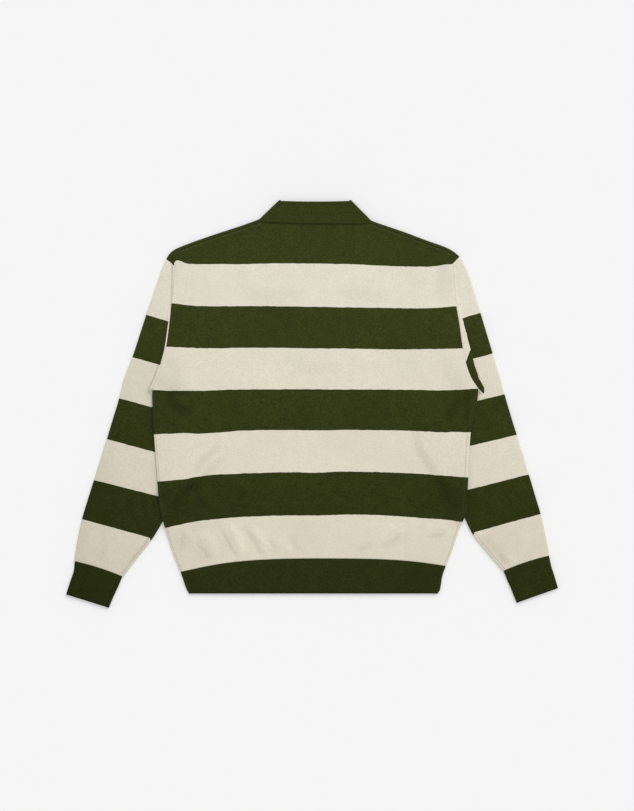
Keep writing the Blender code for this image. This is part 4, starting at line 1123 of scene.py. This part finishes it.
class Graph:
    """A node tree, filled node by node."""

    def __init__(self, tree):
        self.tree = tree
        self.tree.nodes.clear()

    def node(self, kind, settings=None, values=None):
        """Add a node: first its settings, then the values or links of its sockets."""
        made = self.tree.nodes.new(kind)
        for name, setting in (settings or {}).items():
            setattr(made, name, setting)
        for name, value in (values or {}).items():
            source = value.socket if isinstance(value, Value) else value
            if isinstance(source, bpy.types.NodeSocket):
                self.tree.links.new(source, made.inputs[name])
            else:
                made.inputs[name].default_value = source
        return made

    def first(self, kind, settings=None, values=None):
        """Add a node and take its first output."""
        return self.node(kind, settings, values).outputs[0]

    def value(self, kind, settings=None, values=None, output=0):
        """Add a node and take one of its outputs as a number."""
        return Value(self, self.node(kind, settings, values).outputs[output])

    def mix(self, amount, start, end):
        """A colour this far from start to end."""
        settings = {"data_type": "RGBA", "clamp_factor": False}
        return self.node("ShaderNodeMix", settings, {0: amount, 6: start, 7: end}).outputs[2]

    def shade(self, colour, amount):
        """A colour made this many times as bright."""
        values = {"Vector": colour, "Scale": amount}
        return self.first("ShaderNodeVectorMath", {"operation": "SCALE"}, values)

    def noise(self, place, size, detail=2.0):
        """Soft noise whose patches are about this many millimetres, from -0.5 to 0.5."""
        values = {"Vector": place, "Scale": 1.0 / (size * MM), "Detail": detail}
        return self.value("ShaderNodeTexNoise", None, values) - 0.5

    def parts(self, vector):
        """The first two parts of a place or a UV."""
        kind = "ShaderNodeSeparateXYZ"
        return [self.value(kind, None, {0: vector}, output=k) for k in (0, 1)]

    def place(self):
        """Object coordinates."""
        return self.node("ShaderNodeTexCoord").outputs["Object"]

    def bump(self, strength, deep, height):
        """A bumped normal, deep millimetres at full height."""
        values = {"Strength": strength, "Distance": deep * MM, "Height": height}
        return self.first("ShaderNodeBump", None, values)


def rgba(colour):
    """A property's colour with its alpha."""
    return (*colour, 1.0)


# Finishes --------------------------------------------------------------------------------

WALE = 1.15                               # width of a column of stitches
COURSES_PER_STRIPE = 87.0
STITCH_SLANT = 0.6                        # how far a stitch's legs lean, in courses
SHADE_TOP, SHADE_BOTTOM = 190.0, -340.0     # painted shade: the colours darken from one height to the other, as the light falls off
LEFT_START, LEFT_WIDTH = -205.0, 240.0    # beyond this the left side lies in softer light
# Painted shade on the left: its colours darken further, and it gets less light.
LEFT_FALLOFF, LEFT_SHADE = 0.2, 0.15
TROUGH_SHADE, RIDGE_LIGHT = 0.10, 0.03    # painted shade in a fold's trough and painted light on its ridge, per mm
FOLD_SHOWN = 0.5                          # how much of that shows, and more on a grainy knit
FINE_PATCH, BROAD_PATCH = 2.6, 17.0       # sizes of the green's mottling
FINE_MOTTLE, BROAD_MOTTLE = 1.5, 0.4      # how strong each is
CALM_CREAM = 0.8                          # how much of the mottling cream leaves out
LINE_PATCH, LINE_WAVER = 12.0, 0.025      # the lines between the stripes waver
STITCH_PINCH = 0.7                        # how much a stitch narrows at its sides
KNIT_SHADE, STITCH_LIGHT = 0.93, 0.1      # painted shade between the stitches, and painted light on them
FINE_BUMP = 1.6                           # how high the fine mottling is beside a stitch
THREAD_PATCH, SHELL_PATCH, FLOOR_PATCH = 1.6, 0.5, 60.0  # sizes of what is uneven in the others
STREAK_REACH = 0.15                       # a button's streaks are long one way


def knit(graph, colours, striped):
    """Fine jersey or rib knit: stitches along the wales, mottling and, on jersey, stripes."""
    place = graph.place()
    across, height = graph.parts(place)
    wale, stripe = graph.parts(graph.first("ShaderNodeUVMap", {"uv_map": "knit"}))
    fine, broad = graph.noise(place, FINE_PATCH), graph.noise(place, BROAD_PATCH)
    side = abs((wale / (WALE * MM)).maths("FRACT") - 0.5) * 2.0
    course = stripe * COURSES_PER_STRIPE + side * STITCH_SLANT
    along = course.maths("FRACT")
    leg = (along * (1.0 - along) * 4.0) ** 0.5
    stitch = leg * (1.0 - STITCH_PINCH * (abs(side - 0.5) * 2.0) ** 3.0)
    # Painted shade: the colours darken towards the hem, and more on the left, where the light
    # falls off.
    fade = (SHADE_TOP * MM - height) / ((SHADE_TOP - SHADE_BOTTOM) * MM)
    left = ((LEFT_START * MM - across) / (LEFT_WIDTH * MM)).maths("MAXIMUM", 0.0)
    fade = fade.maths("MAXIMUM", 0.0) + left * LEFT_FALLOFF
    colour = graph.mix(fade, rgba(colours.green_top), rgba(colours.green_bottom))
    grain = 1.0
    if striped:
        edge = course / COURSES_PER_STRIPE + graph.noise(place, LINE_PATCH) * LINE_WAVER
        is_cream = (edge * 0.5).maths("FRACT") > 0.5
        cream = graph.mix(fade, rgba(colours.cream_top), rgba(colours.cream_bottom))
        colour = graph.mix(is_cream, colour, cream)
        grain = 1.0 - is_cream * CALM_CREAM
    mottle = (fine * FINE_MOTTLE + broad * BROAD_MOTTLE) * grain
    # Painted shade between the stitches and painted light on them; the mottling is the knit's own
    # uneven tone.
    shade = KNIT_SHADE + stitch * STITCH_LIGHT + mottle
    # Painted shade in the folds' troughs and painted light on their ridges, from the fold
    # attribute.
    fold = graph.value("ShaderNodeAttribute", {"attribute_name": "fold"}, output=2)
    folded = fold.maths("MINIMUM", 0.0) * (TROUGH_SHADE - RIDGE_LIGHT) + fold * RIDGE_LIGHT
    shade = shade * (1.0 - left * LEFT_SHADE) * (1.0 + folded * (FOLD_SHOWN + grain))
    return {
        "Base Color": graph.shade(colour, shade),
        "Roughness": 0.95 - stitch * 0.06,
        "Specular IOR Level": 0.06,
        "Sheen Weight": 0.04,
        "Sheen Roughness": 0.6,
        "Normal": graph.bump(0.7, 0.25, stitch + fine * FINE_BUMP),
    }


def thread_finish(graph, colour):
    """Sewing thread: matt, a little uneven along its run."""
    uneven = graph.noise(graph.place(), THREAD_PATCH)
    return {
        "Base Color": graph.shade(tuple(colour), 1.0 + uneven * 0.5),
        "Roughness": 0.8 + uneven * 0.2,
        "Specular IOR Level": 0.3,
        "Normal": graph.bump(0.5, 0.1, uneven),
    }


def shell_finish(graph, colour):
    """A button's satin shell with fine streaks across it."""
    values = {0: graph.place(), 1: (1.0, STREAK_REACH, 1.0)}
    stretched = graph.first("ShaderNodeVectorMath", {"operation": "MULTIPLY"}, values)
    streaks = graph.noise(stretched, SHELL_PATCH, 4.0)
    return {
        "Base Color": graph.shade(tuple(colour), 1.0 + streaks * 0.6),
        "Roughness": 0.34 + streaks * 0.15,
        "Coat Weight": 0.2,
        "Normal": graph.bump(0.3, 0.05, streaks),
    }


FLOOR_GLOW = 0.473                        # a lit table: its own light keeps the shadows faint


def floor_finish(graph, colour):
    """A plain pale surface, very slightly uneven."""
    uneven = graph.noise(graph.place(), FLOOR_PATCH)
    return {
        "Base Color": graph.shade(tuple(colour), 1.0 + uneven * 0.006),
        "Roughness": 0.9 + uneven * 0.05,
        "Specular IOR Level": 0.1,
        "Emission Color": rgba(colour),
        "Emission Strength": FLOOR_GLOW,
    }


def finish_named(name):
    """One of the garment's finishes, made the first time that it is asked for."""
    if name in bpy.data.materials:
        return bpy.data.materials[name]
    made = bpy.data.materials.new(name)
    made.use_nodes = True
    graph, colours = Graph(made.node_tree), bpy.context.scene.sweater_colours
    makers = {
        "fine_knit": lambda: knit(graph, colours, True),
        "rib_knit": lambda: knit(graph, colours, False),
        "seam_thread": lambda: thread_finish(graph, colours.thread),
        "shoulder_thread": lambda: thread_finish(graph, colours.shoulder_thread),
        "button_shell": lambda: shell_finish(graph, colours.button),
        "pale_floor": lambda: floor_finish(graph, colours.floor),
    }
    shader = graph.first("ShaderNodeBsdfPrincipled", None, makers[name]())
    graph.node("ShaderNodeOutputMaterial", None, {"Surface": shader})
    return made


# Ribs and stitches -----------------------------------------------------------------------

RIB_LEVEL = 0.7                           # share of a rib's depth that lies below the wall
THREAD_FLATNESS = 0.7

def tree_named(name, inputs):
    """A new Geometry Nodes tree with named inputs, each given its default."""
    tree = bpy.data.node_groups.new(name, "GeometryNodeTree")
    graph = Graph(tree)
    tree.interface.new_socket("Geometry", in_out="OUTPUT", socket_type="NodeSocketGeometry")
    tree.interface.new_socket("Geometry", in_out="INPUT", socket_type="NodeSocketGeometry")
    for label, default in inputs.items():
        kind = "NodeSocketMaterial" if default is None else "NodeSocketFloat"
        socket = tree.interface.new_socket(label, in_out="INPUT", socket_type=kind)
        if default is not None:
            socket.default_value = default
    return tree, graph, graph.node("NodeGroupInput").outputs


def end_tree(graph, geometry, finish):
    """End a tree: plain geometry with its finish."""
    real = graph.first("GeometryNodeRealizeInstances", None, {0: geometry})
    values = {"Geometry": real, "Material": finish}
    graph.node("NodeGroupOutput", None, {0: graph.first("GeometryNodeSetMaterial", None, values)})


def raise_ribs_tree():
    """Raises ribs on the outer face of a wall, along its wales."""
    if "raise_ribs" in bpy.data.node_groups:
        return bpy.data.node_groups["raise_ribs"]
    tree, graph, given = tree_named(
        "raise_ribs", {"Rib Pitch": 0.0024, "Rib Depth": 0.0003, "Finish": None}
    )
    read = {"data_type": "FLOAT"}
    wale = graph.value("GeometryNodeInputNamedAttribute", read, {"Name": "wale"})
    outer = graph.value("GeometryNodeInputNamedAttribute", read, {"Name": "outer"})
    turn = wale / Value(graph, given["Rib Pitch"]) * math.tau
    ridge = 0.5 + turn.maths("COSINE") * 0.5
    height = (ridge - RIB_LEVEL) * outer * Value(graph, given["Rib Depth"])
    offset = graph.shade(graph.first("GeometryNodeInputNormal"), height)
    values = {"Geometry": given["Geometry"], "Offset": offset}
    end_tree(graph, graph.first("GeometryNodeSetPosition", None, values), given["Finish"])
    return tree


def lay_stitches_tree():
    """Lays slanted stitches along paths of edges."""
    if "lay_stitches" in bpy.data.node_groups:
        return bpy.data.node_groups["lay_stitches"]
    tree, graph, given = tree_named("lay_stitches", {
        "Stitch Pitch": 0.0024, "Stitch Length": 0.002, "Thread Width": 0.0006,
        "Slant": 0.35, "Finish": None,
    })
    path = graph.first("GeometryNodeMeshToCurve", None, {0: given["Geometry"]})
    values = {"Curve": path, "Length": given["Stitch Pitch"]}
    spaced = graph.first("GeometryNodeResampleCurve", {"mode": "LENGTH"}, values)
    points = graph.node("GeometryNodeCurveToPoints", {"mode": "EVALUATED"}, {0: spaced}).outputs
    values = {"Segments": 6, "Rings": 4, "Radius": 0.5}
    bead = graph.first("GeometryNodeMeshUVSphere", None, values)
    values = {"Vector": points["Tangent"]}
    aim = graph.first("FunctionNodeAlignRotationToVector", {"axis": "X"}, values)
    turn = graph.first("ShaderNodeCombineXYZ", None, {"Z": given["Slant"]})
    turn = graph.first("FunctionNodeEulerToRotation", None, {0: turn})
    values = {"Rotation": aim, "Rotate By": turn}
    slanted = graph.first("FunctionNodeRotateRotation", {"rotation_space": "LOCAL"}, values)
    width = given["Thread Width"]
    values = {"X": given["Stitch Length"], "Y": width, "Z": Value(graph, width) * THREAD_FLATNESS}
    size = graph.first("ShaderNodeCombineXYZ", None, values)
    end_tree(graph, graph.first("GeometryNodeInstanceOnPoints", None, {
        "Points": points["Points"], "Instance": bead, "Rotation": slanted, "Scale": size,
    }), given["Finish"])
    return tree


def grow(piece, tree, **values):
    """Run a node tree on a piece and keep the result as its plain mesh."""
    change = piece.modifiers.new(tree.name, "NODES")
    change.node_group = tree
    for item in tree.interface.items_tree:
        label = item.name.lower().replace(" ", "_")
        if item.in_out == "INPUT" and label in values:
            change[item.identifier] = values[label]
    graph = bpy.context.evaluated_depsgraph_get()
    mesh = bpy.data.meshes.new_from_object(
        piece.evaluated_get(graph), preserve_all_data_layers=True, depsgraph=graph
    )
    piece.modifiers.remove(change)
    piece.data = mesh
    mesh.shade_smooth()
    return piece


# Finished pieces -------------------------------------------------------------------------

def dress(piece, finish, nodes=(), body="root"):
    """Give a piece its finish, attach it to its body, and hide the parts of the model that it
    replaces.
    """
    piece.data.materials.clear()
    piece.data.materials.append(finish_named(finish))
    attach(piece, body)
    if nodes:
        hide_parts(*nodes)
    return piece


def ribbed(name, grid, outward, edges, node, thickness=WALL):
    """A wall of rib knit in place of a node."""
    sizes = bpy.context.scene.sweater_sizes
    piece = wall(name, grid, outward, edges, thickness=thickness)
    grow(
        piece, raise_ribs_tree(), rib_pitch=sizes.rib_pitch, rib_depth=sizes.rib_depth,
        finish=finish_named("rib_knit"),
    )
    return dress(piece, "rib_knit", [node])


def make_back(strength):
    """The back panel."""
    grid = back_grid(BODY_STEP, False, strength)
    piece = wall("back", grid, -1, ("top", "bottom", "start", "end"))
    dress(piece, "fine_knit", ["back_panel"])


def make_front(strength):
    """The front panel, wrapped over the shoulders and round the sides."""
    grid = front_grid(FRONT_STEP, False, strength)
    cells = front_cells(grid, FRONT_STEP)
    piece = wall("front", grid, 1, ("top", "bottom", "start", "end"), cells)
    dress(piece, "fine_knit", ["front_panel"])


def make_sleeve(sleeve, strength):
    """One sleeve, flat, with its tuck beside the armhole."""
    grid, cells = sleeve_grid(sleeve, strength)
    piece = wall(
        f"{sleeve.name}_sleeve", grid, -sleeve.side, ("start", "end", "bottom"), cells,
        centre=TUCK_POINTS + DROP_POINTS - 1 + TOP_POINTS + FOLD_FACETS // 2,
    )
    dress(piece, "fine_knit", [f"sleeve_{sleeve.name}"])


def make_cuff(sleeve, strength):
    """One rib cuff."""
    grid, edges = cuff_grid(sleeve, strength), ("top", "start", "end")
    piece = ribbed(f"{sleeve.name}_cuff", grid, -sleeve.side, edges, f"cuff_{sleeve.name}")


def make_hem_bands(strength):
    """The two rib bands at the hem."""
    for side, grid_of, outward, cut, below, area in (
        ("back", back_grid, -1, (0.462, 0.0625), "hem_rib_front", 0.0261),
        ("front", front_grid, 1, (0.475, 0.0635), "floor", 0.0269),
    ):
        grid = respace(grid_of(BODY_STEP, True, strength), RIB_STEP)
        edges = ("top", "start", "end")
        piece = ribbed(f"hem_rib_{side}", grid, outward, edges, f"hem_band_{side}")


def make_collar():
    """The folded collar."""
    piece = ribbed("folded_collar", collar_grid(), -1, ("top",), "collar")


STRIP_ROWS, STRIPE_RUN = 40, 900.0        # the bands' courses: this far from stripe to stripe


def strip_grid(bottom, top, level):
    """A flat strip as wide as the placket's slit."""
    half = SLIT_HALF_WIDTH - SEAM_GAP
    x, y = np.meshgrid(CENTRE_X + np.array([-half, half]), np.linspace(top, bottom, STRIP_ROWS))
    level, stripe = np.full_like(x, level), BAND_COURSE + 0.5 - y / STRIPE_RUN
    grid = np.stack([x, y, level, np.zeros_like(x), stripe], axis=2)
    return respace(grid, RIB_STEP)


def make_placket():
    """The placket's two bands, in the front's slit."""
    bottom = mix(FRONT_NECK_Y, LAST_UPPER_Y, SLIT_END) + SEAM_GAP
    low = OVER_COLLAR
    for name, node, thick in (
        ("placket_band_top", "placket_top", BAND_WALL),
        ("placket_band_under", "placket_under", UNDER_BAND_WALL),
    ):
        grid = strip_grid(bottom, FRONT_NECK_Y - SEAM_GAP, low + thick / 2)
        piece = ribbed(name, grid, 1, (), node, thick)
        low += thick + SEAM_GAP


BUTTON_FACETS, BUTTON_HOLE_FACETS, BUTTON_HOLE_DEPTH = 48, 12, 5.0
WELD = 0.001                              # a button's points this close are one


def plain_object(name, shape):
    """An object in the scene from a finished bmesh."""
    mesh = bpy.data.meshes.new(name)
    shape.to_mesh(mesh)
    shape.free()
    return put_in_scene(name, mesh)


def turned_button(name, height):
    """A button turned from its profile, its face down, at its place on the placket."""
    shape = bmesh.new()
    corners = [
        shape.verts.new((step.radius * MM, 0.0, step.level * MM)) for step in BUTTON_PROFILE
    ]
    edges = [shape.edges.new(pair) for pair in zip(corners, corners[1:])]
    bmesh.ops.spin(
        shape, geom=corners + edges, angle=math.tau, steps=BUTTON_FACETS,
        axis=(0, 0, 1), cent=(0, 0, 0),
    )
    bmesh.ops.remove_doubles(shape, verts=shape.verts, dist=WELD * MM)
    bmesh.ops.recalc_face_normals(shape, faces=shape.faces)
    bmesh.ops.translate(shape, verts=shape.verts, vec=(CENTRE_X * MM, height * MM, 0.0))
    return plain_object(name, shape)


def button_holes(height):
    """Cutters for the four holes of a button."""
    shape = bmesh.new()
    for quarter in range(4):
        turn = math.tau * (quarter + 0.5) / 4
        made = bmesh.ops.create_cone(
            shape, cap_ends=True, segments=BUTTON_HOLE_FACETS, depth=BUTTON_HOLE_DEPTH * MM,
            radius1=BUTTON_HOLE_RADIUS * MM, radius2=BUTTON_HOLE_RADIUS * MM,
        )
        x = CENTRE_X + BUTTON_HOLE_OFFSET * math.cos(turn)
        y = height + BUTTON_HOLE_OFFSET * math.sin(turn)
        bmesh.ops.translate(shape, verts=made["verts"], vec=(x * MM, y * MM, 0.0))
    return plain_object("hole_cutter", shape)


def make_buttons():
    """The three buttons, each with four holes."""
    for number, height in enumerate(BUTTON_HEIGHTS, start=1):
        button, cutter = turned_button(f"shell_button_{number}", height), button_holes(height)
        cut = button.modifiers.new("Holes", "BOOLEAN")
        cut.operation, cut.object = "DIFFERENCE", cutter
        graph = bpy.context.evaluated_depsgraph_get()
        mesh = bpy.data.meshes.new_from_object(button.evaluated_get(graph), depsgraph=graph)
        button.modifiers.remove(cut)
        button.data = mesh
        bpy.data.objects.remove(cutter)
        dress(button, "button_shell", [f"button_{number}"])


STITCH_LIFT = 0.1                         # how far a seam's stitches lie over the knit
HEM_SHARE = 0.5                           # the hem's stitches are this small beside the others
ROWS_TO_RIDGE = 3                         # from a shoulder seam down to the ridge beside it
CLOSE_ROW_PITCH, CLOSE_ROW_REACH, CLOSE_ROW_SLANT = 0.0026, 0.0024, 0.4
SEAM_IN_SIGHT = -170.0                    # a sleeve's seam comes out from under the body here


def edge_lines(grid, rows, columns, raised):
    """A path along part of a grid's edge, raised above the wall's middle."""
    path = grid[rows, columns][:, :3].copy()
    path[:, 2] += raised
    return path


def lay_seam(name, paths, finish, pitch, reach, slant=0.0):
    """Stitches along paths, as one piece: pitch from one to the next, each as long as reach."""
    shape = bmesh.new()
    for path in paths:
        corners = [shape.verts.new(np.asarray(place) * MM) for place in path]
        for pair in zip(corners, corners[1:]):
            shape.edges.new(pair)
    piece = plain_object(name, shape)
    grow(
        piece, lay_stitches_tree(), stitch_pitch=pitch, stitch_length=reach,
        thread_width=bpy.context.scene.sweater_sizes.thread_width, slant=slant,
        finish=finish_named(finish),
    )
    return dress(piece, finish)


def make_seams(strength):
    """The stitches over the seams that show."""
    sizes = bpy.context.scene.sweater_sizes
    pitch, reach = sizes.stitch_pitch, sizes.stitch_length
    over, whole = WALL / 2 * SEAM_THIN + STITCH_LIFT, slice(None)
    back, band = back_grid(BODY_STEP, False, strength), back_grid(BODY_STEP, True, strength)
    lower = slice(len(upper_shares(BODY_STEP)), None)
    sides = [
        edge_lines(grid, rows, column, over)
        for grid, rows in ((back, lower), (band, whole)) for column in (0, -1)
    ]
    lay_seam("side_stitches", sides, "seam_thread", pitch, reach)
    hem = [edge_lines(back, -1, whole, over)]
    lay_seam("hem_stitches", hem, "seam_thread", pitch * HEM_SHARE, reach * HEM_SHARE)
    paths = [edge_lines(sleeve_grid(sleeve, strength)[0], whole, 0, over) for sleeve in SLEEVES]
    paths = [path[path[:, 1] < SEAM_IN_SIGHT] for path in paths]
    paths += [edge_lines(cuff_grid(sleeve, 0.0), whole, 0, over) for sleeve in SLEEVES]
    lay_seam("sleeve_stitches", paths, "seam_thread", pitch, reach)
    out = back[0, :, 0] - CENTRE_X
    columns = [np.nonzero(side * out > NECK_OUT)[0] for side in (-1, 1)]
    over = WALL / 2 + STITCH_LIFT
    shoulders = [edge_lines(back, ROWS_TO_RIDGE, run, over) for run in columns]
    row = CLOSE_ROW_PITCH, CLOSE_ROW_REACH, CLOSE_ROW_SLANT
    lay_seam("shoulder_stitches", shoulders, "shoulder_thread", *row)


BUTTONHOLE_LENGTH, BUTTONHOLE_WIDTH = 15.0, 1.8
CLOSE_PITCH, CLOSE_REACH = 0.0007, 0.0016 # the stitches round it, side by side
LOOP_POINTS = 9                           # round each of its ends
THREAD_OVERLAP = 1.5                      # the beads of a button's thread run into each other


def make_button_sewing():
    """Stitched edges of the three buttonholes, and the thread that holds each button."""
    holes, threads = [], []
    half = BUTTONHOLE_LENGTH / 2 - BUTTONHOLE_WIDTH / 2
    reach = BUTTON_HOLE_OFFSET * math.cos(math.tau / 8)
    for height in BUTTON_HEIGHTS:
        loop = []
        for end, first in ((half, 0.0), (-half, math.pi)):
            for turn in np.linspace(first, first + math.pi, LOOP_POINTS):
                loop.append((
                    CENTRE_X + BUTTONHOLE_WIDTH / 2 * math.cos(turn),
                    height + end + BUTTONHOLE_WIDTH / 2 * math.sin(turn), OVER_COLLAR,
                ))
        holes.append(loop + loop[:1])
        level = BUTTON_PROFILE[0].level - STITCH_LIFT
        for side in (-reach, reach):
            threads.append([
                (CENTRE_X + side, height - reach, level), (CENTRE_X + side, height + reach, level),
            ])
    lay_seam("buttonhole_stitches", holes, "seam_thread", CLOSE_PITCH, CLOSE_REACH, math.pi / 2)
    lay_seam("button_threads", threads, "seam_thread", CLOSE_PITCH, CLOSE_PITCH * THREAD_OVERLAP)


# Stage -----------------------------------------------------------------------------------

FLOOR_SIZE = 12.0
FLOOR_DROP = 0.15                         # the floor lies this far under the garment
CAMERA_PLACE = (0.0084, -0.0033, 4.014)
CAMERA_LENS, CAMERA_SIGHT = 100.0, 50.0
SUN_TILT = 44.0                           # the light comes from the collar's side, this far over
SUN_TURN = 26.0                           # and a little from the right
SUN_SPREAD = 38.0


def make_floor():
    """A large plain floor."""
    shape = bmesh.new()
    bmesh.ops.create_grid(shape, x_segments=1, y_segments=1, size=FLOOR_SIZE / 2)
    bmesh.ops.translate(shape, verts=shape.verts, vec=(0.0, 0.0, -FLOOR_DROP * MM))
    floor = plain_object("floor", shape)
    floor.data.materials.append(finish_named("pale_floor"))


def make_lights(sizes):
    """One broad light from beyond the collar, and an even sky."""
    sun = put_in_scene("soft_sun", bpy.data.lights.new("soft_sun", "SUN"))
    sun.data.energy, sun.data.angle = sizes.sun, math.radians(SUN_SPREAD)
    sun.rotation_euler = (-math.radians(SUN_TILT), 0.0, -math.radians(SUN_TURN))
    world = bpy.data.worlds.new("even_sky")
    world.use_nodes = True
    sky = world.node_tree.nodes["Background"].inputs
    sky["Color"].default_value, sky["Strength"].default_value = rgba((1.0, 1.0, 1.0)), sizes.sky
    bpy.context.scene.world = world


def make_camera():
    """The camera, straight above the garment."""
    camera = put_in_scene("camera", bpy.data.cameras.new("camera"))
    camera.data.lens, camera.data.clip_end = CAMERA_LENS, CAMERA_SIGHT
    camera.location = CAMERA_PLACE
    bpy.context.scene.camera = camera
    bpy.context.scene.view_settings.view_transform = "Standard"


# Add-on ----------------------------------------------------------------------------------

def length(name, description, default):
    """A length property, in metres."""
    return bpy.props.FloatProperty(
        name=name, description=description, default=default, min=0.0, unit="LENGTH", precision=5,
    )


def colour(name, description, default):
    """A colour property."""
    return bpy.props.FloatVectorProperty(
        name=name, description=description, default=default, size=3, min=0.0, max=1.0,
        subtype="COLOR",
    )


class SweaterSizes(bpy.types.PropertyGroup):
    """Sizes of the knit and its sewing."""

    rib_pitch: length("Rib pitch", "Distance from rib to rib", 0.0024)
    rib_depth: length("Rib depth", "Depth of the ribs of collar, cuffs and hem", 0.00032)
    stitch_pitch: length("Stitch pitch", "Distance from stitch to stitch at a seam", 0.0046)
    stitch_length: length("Stitch length", "Length of a seam's stitch", 0.0028)
    thread_width: length("Thread width", "Width of the sewing thread", 0.0005)
    folds: bpy.props.FloatProperty(
        name="Folds", description="Strength of the folds and creases", default=1.0, min=0.0,
    )
    sky: bpy.props.FloatProperty(
        name="Sky", description="Strength of the even light", default=0.73, min=0.0,
    )
    sun: bpy.props.FloatProperty(
        name="Sun", description="Strength of the light from above the collar", default=1.4,
        min=0.0,
    )


class SweaterColours(bpy.types.PropertyGroup):
    """Colours of the knit, buttons and floor."""

    # The top and bottom colours differ by painted shade: darker towards the hem, where the light
    # falls off.
    green_top: colour("Green, top", "Green stripes near the shoulders", (0.0365, 0.0450, 0.0070))
    green_bottom: colour("Green, bottom", "Green near the hem", (0.0200, 0.0258, 0.0022))
    cream_top: colour("Cream, top", "Cream stripes near the shoulders", (0.761, 0.717, 0.594))
    cream_bottom: colour("Cream, bottom", "Cream stripes near the hem", (0.693, 0.645, 0.510))
    thread: colour("Thread", "Sewing thread", (0.13, 0.125, 0.06))
    shoulder_thread: colour("Shoulder thread", "Thread along the shoulders", (0.12, 0.125, 0.05))
    button: colour("Buttons", "Button shell", (0.030, 0.036, 0.014))
    floor: colour("Floor", "The surface the garment lies on", (0.60, 0.60, 0.60))


class SWEATER_OT_back(bpy.types.Operator):
    """Lay the back panel"""

    bl_idname = "sweater.back"
    bl_label = "Back"

    def execute(self, context):
        make_back(context.scene.sweater_sizes.folds)
        return {"FINISHED"}


class SWEATER_OT_front(bpy.types.Operator):
    """Lay the front panel under the back"""

    bl_idname = "sweater.front"
    bl_label = "Front"

    def execute(self, context):
        make_front(context.scene.sweater_sizes.folds)
        return {"FINISHED"}


class SWEATER_OT_sleeves(bpy.types.Operator):
    """Lay both sleeves under the body"""

    bl_idname = "sweater.sleeves"
    bl_label = "Sleeves"

    def execute(self, context):
        for sleeve in SLEEVES:
            make_sleeve(sleeve, context.scene.sweater_sizes.folds)
        return {"FINISHED"}


class SWEATER_OT_cuffs(bpy.types.Operator):
    """Add the rib cuffs"""

    bl_idname = "sweater.cuffs"
    bl_label = "Cuffs"

    def execute(self, context):
        for sleeve in SLEEVES:
            make_cuff(sleeve, context.scene.sweater_sizes.folds)
        return {"FINISHED"}


class SWEATER_OT_hem(bpy.types.Operator):
    """Add the rib bands at the hem"""

    bl_idname = "sweater.hem"
    bl_label = "Hem bands"

    def execute(self, context):
        make_hem_bands(context.scene.sweater_sizes.folds)
        return {"FINISHED"}


class SWEATER_OT_collar(bpy.types.Operator):
    """Fold the collar round the neck"""

    bl_idname = "sweater.collar"
    bl_label = "Collar"

    def execute(self, context):
        make_collar()
        return {"FINISHED"}


class SWEATER_OT_placket(bpy.types.Operator):
    """Fill the front's slit with the placket's bands"""

    bl_idname = "sweater.placket"
    bl_label = "Placket"

    def execute(self, context):
        make_placket()
        return {"FINISHED"}


class SWEATER_OT_buttons(bpy.types.Operator):
    """Put the buttons on the placket"""

    bl_idname = "sweater.buttons"
    bl_label = "Buttons"

    def execute(self, context):
        make_buttons()
        make_button_sewing()
        return {"FINISHED"}


class SWEATER_OT_seams(bpy.types.Operator):
    """Stitch the seams"""

    bl_idname = "sweater.seams"
    bl_label = "Seams"

    def execute(self, context):
        make_seams(context.scene.sweater_sizes.folds)
        return {"FINISHED"}


class SWEATER_OT_stage(bpy.types.Operator):
    """Set the floor, the lights and the camera"""

    bl_idname = "sweater.stage"
    bl_label = "Stage"

    def execute(self, context):
        make_floor()
        make_lights(context.scene.sweater_sizes)
        make_camera()
        return {"FINISHED"}


OPERATORS = (
    SWEATER_OT_stage, SWEATER_OT_sleeves, SWEATER_OT_cuffs, SWEATER_OT_front, SWEATER_OT_back,
    SWEATER_OT_hem, SWEATER_OT_collar, SWEATER_OT_placket, SWEATER_OT_buttons, SWEATER_OT_seams,
)


class SWEATER_PT_panel(bpy.types.Panel):
    """Lists the sweater's sizes, colours and pieces"""

    bl_label = "Striped Polo Sweater"
    bl_idname = "SWEATER_PT_panel"
    bl_space_type = "VIEW_3D"
    bl_region_type = "UI"
    bl_category = "Sweater"

    def draw(self, context):
        for group in (context.scene.sweater_sizes, context.scene.sweater_colours):
            for name in group.__annotations__:
                self.layout.prop(group, name)
        for operator in OPERATORS:
            self.layout.operator(operator.bl_idname)


CLASSES = (SweaterSizes, SweaterColours) + OPERATORS + (SWEATER_PT_panel,)


def register():
    """Register the add-on's classes and its settings."""
    for item in CLASSES:
        bpy.utils.register_class(item)
    bpy.types.Scene.sweater_sizes = bpy.props.PointerProperty(type=SweaterSizes)
    bpy.types.Scene.sweater_colours = bpy.props.PointerProperty(type=SweaterColours)


def unregister():
    """Take the add-on's classes and settings away."""
    del bpy.types.Scene.sweater_sizes
    del bpy.types.Scene.sweater_colours
    for item in reversed(CLASSES):
        bpy.utils.unregister_class(item)


def main():
    """Build the garment and its stage."""
    register()
    for operator in OPERATORS:
        group, name = operator.bl_idname.split(".")
        getattr(getattr(bpy.ops, group), name)()
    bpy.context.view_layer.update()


if __name__ == "__main__":
    main()
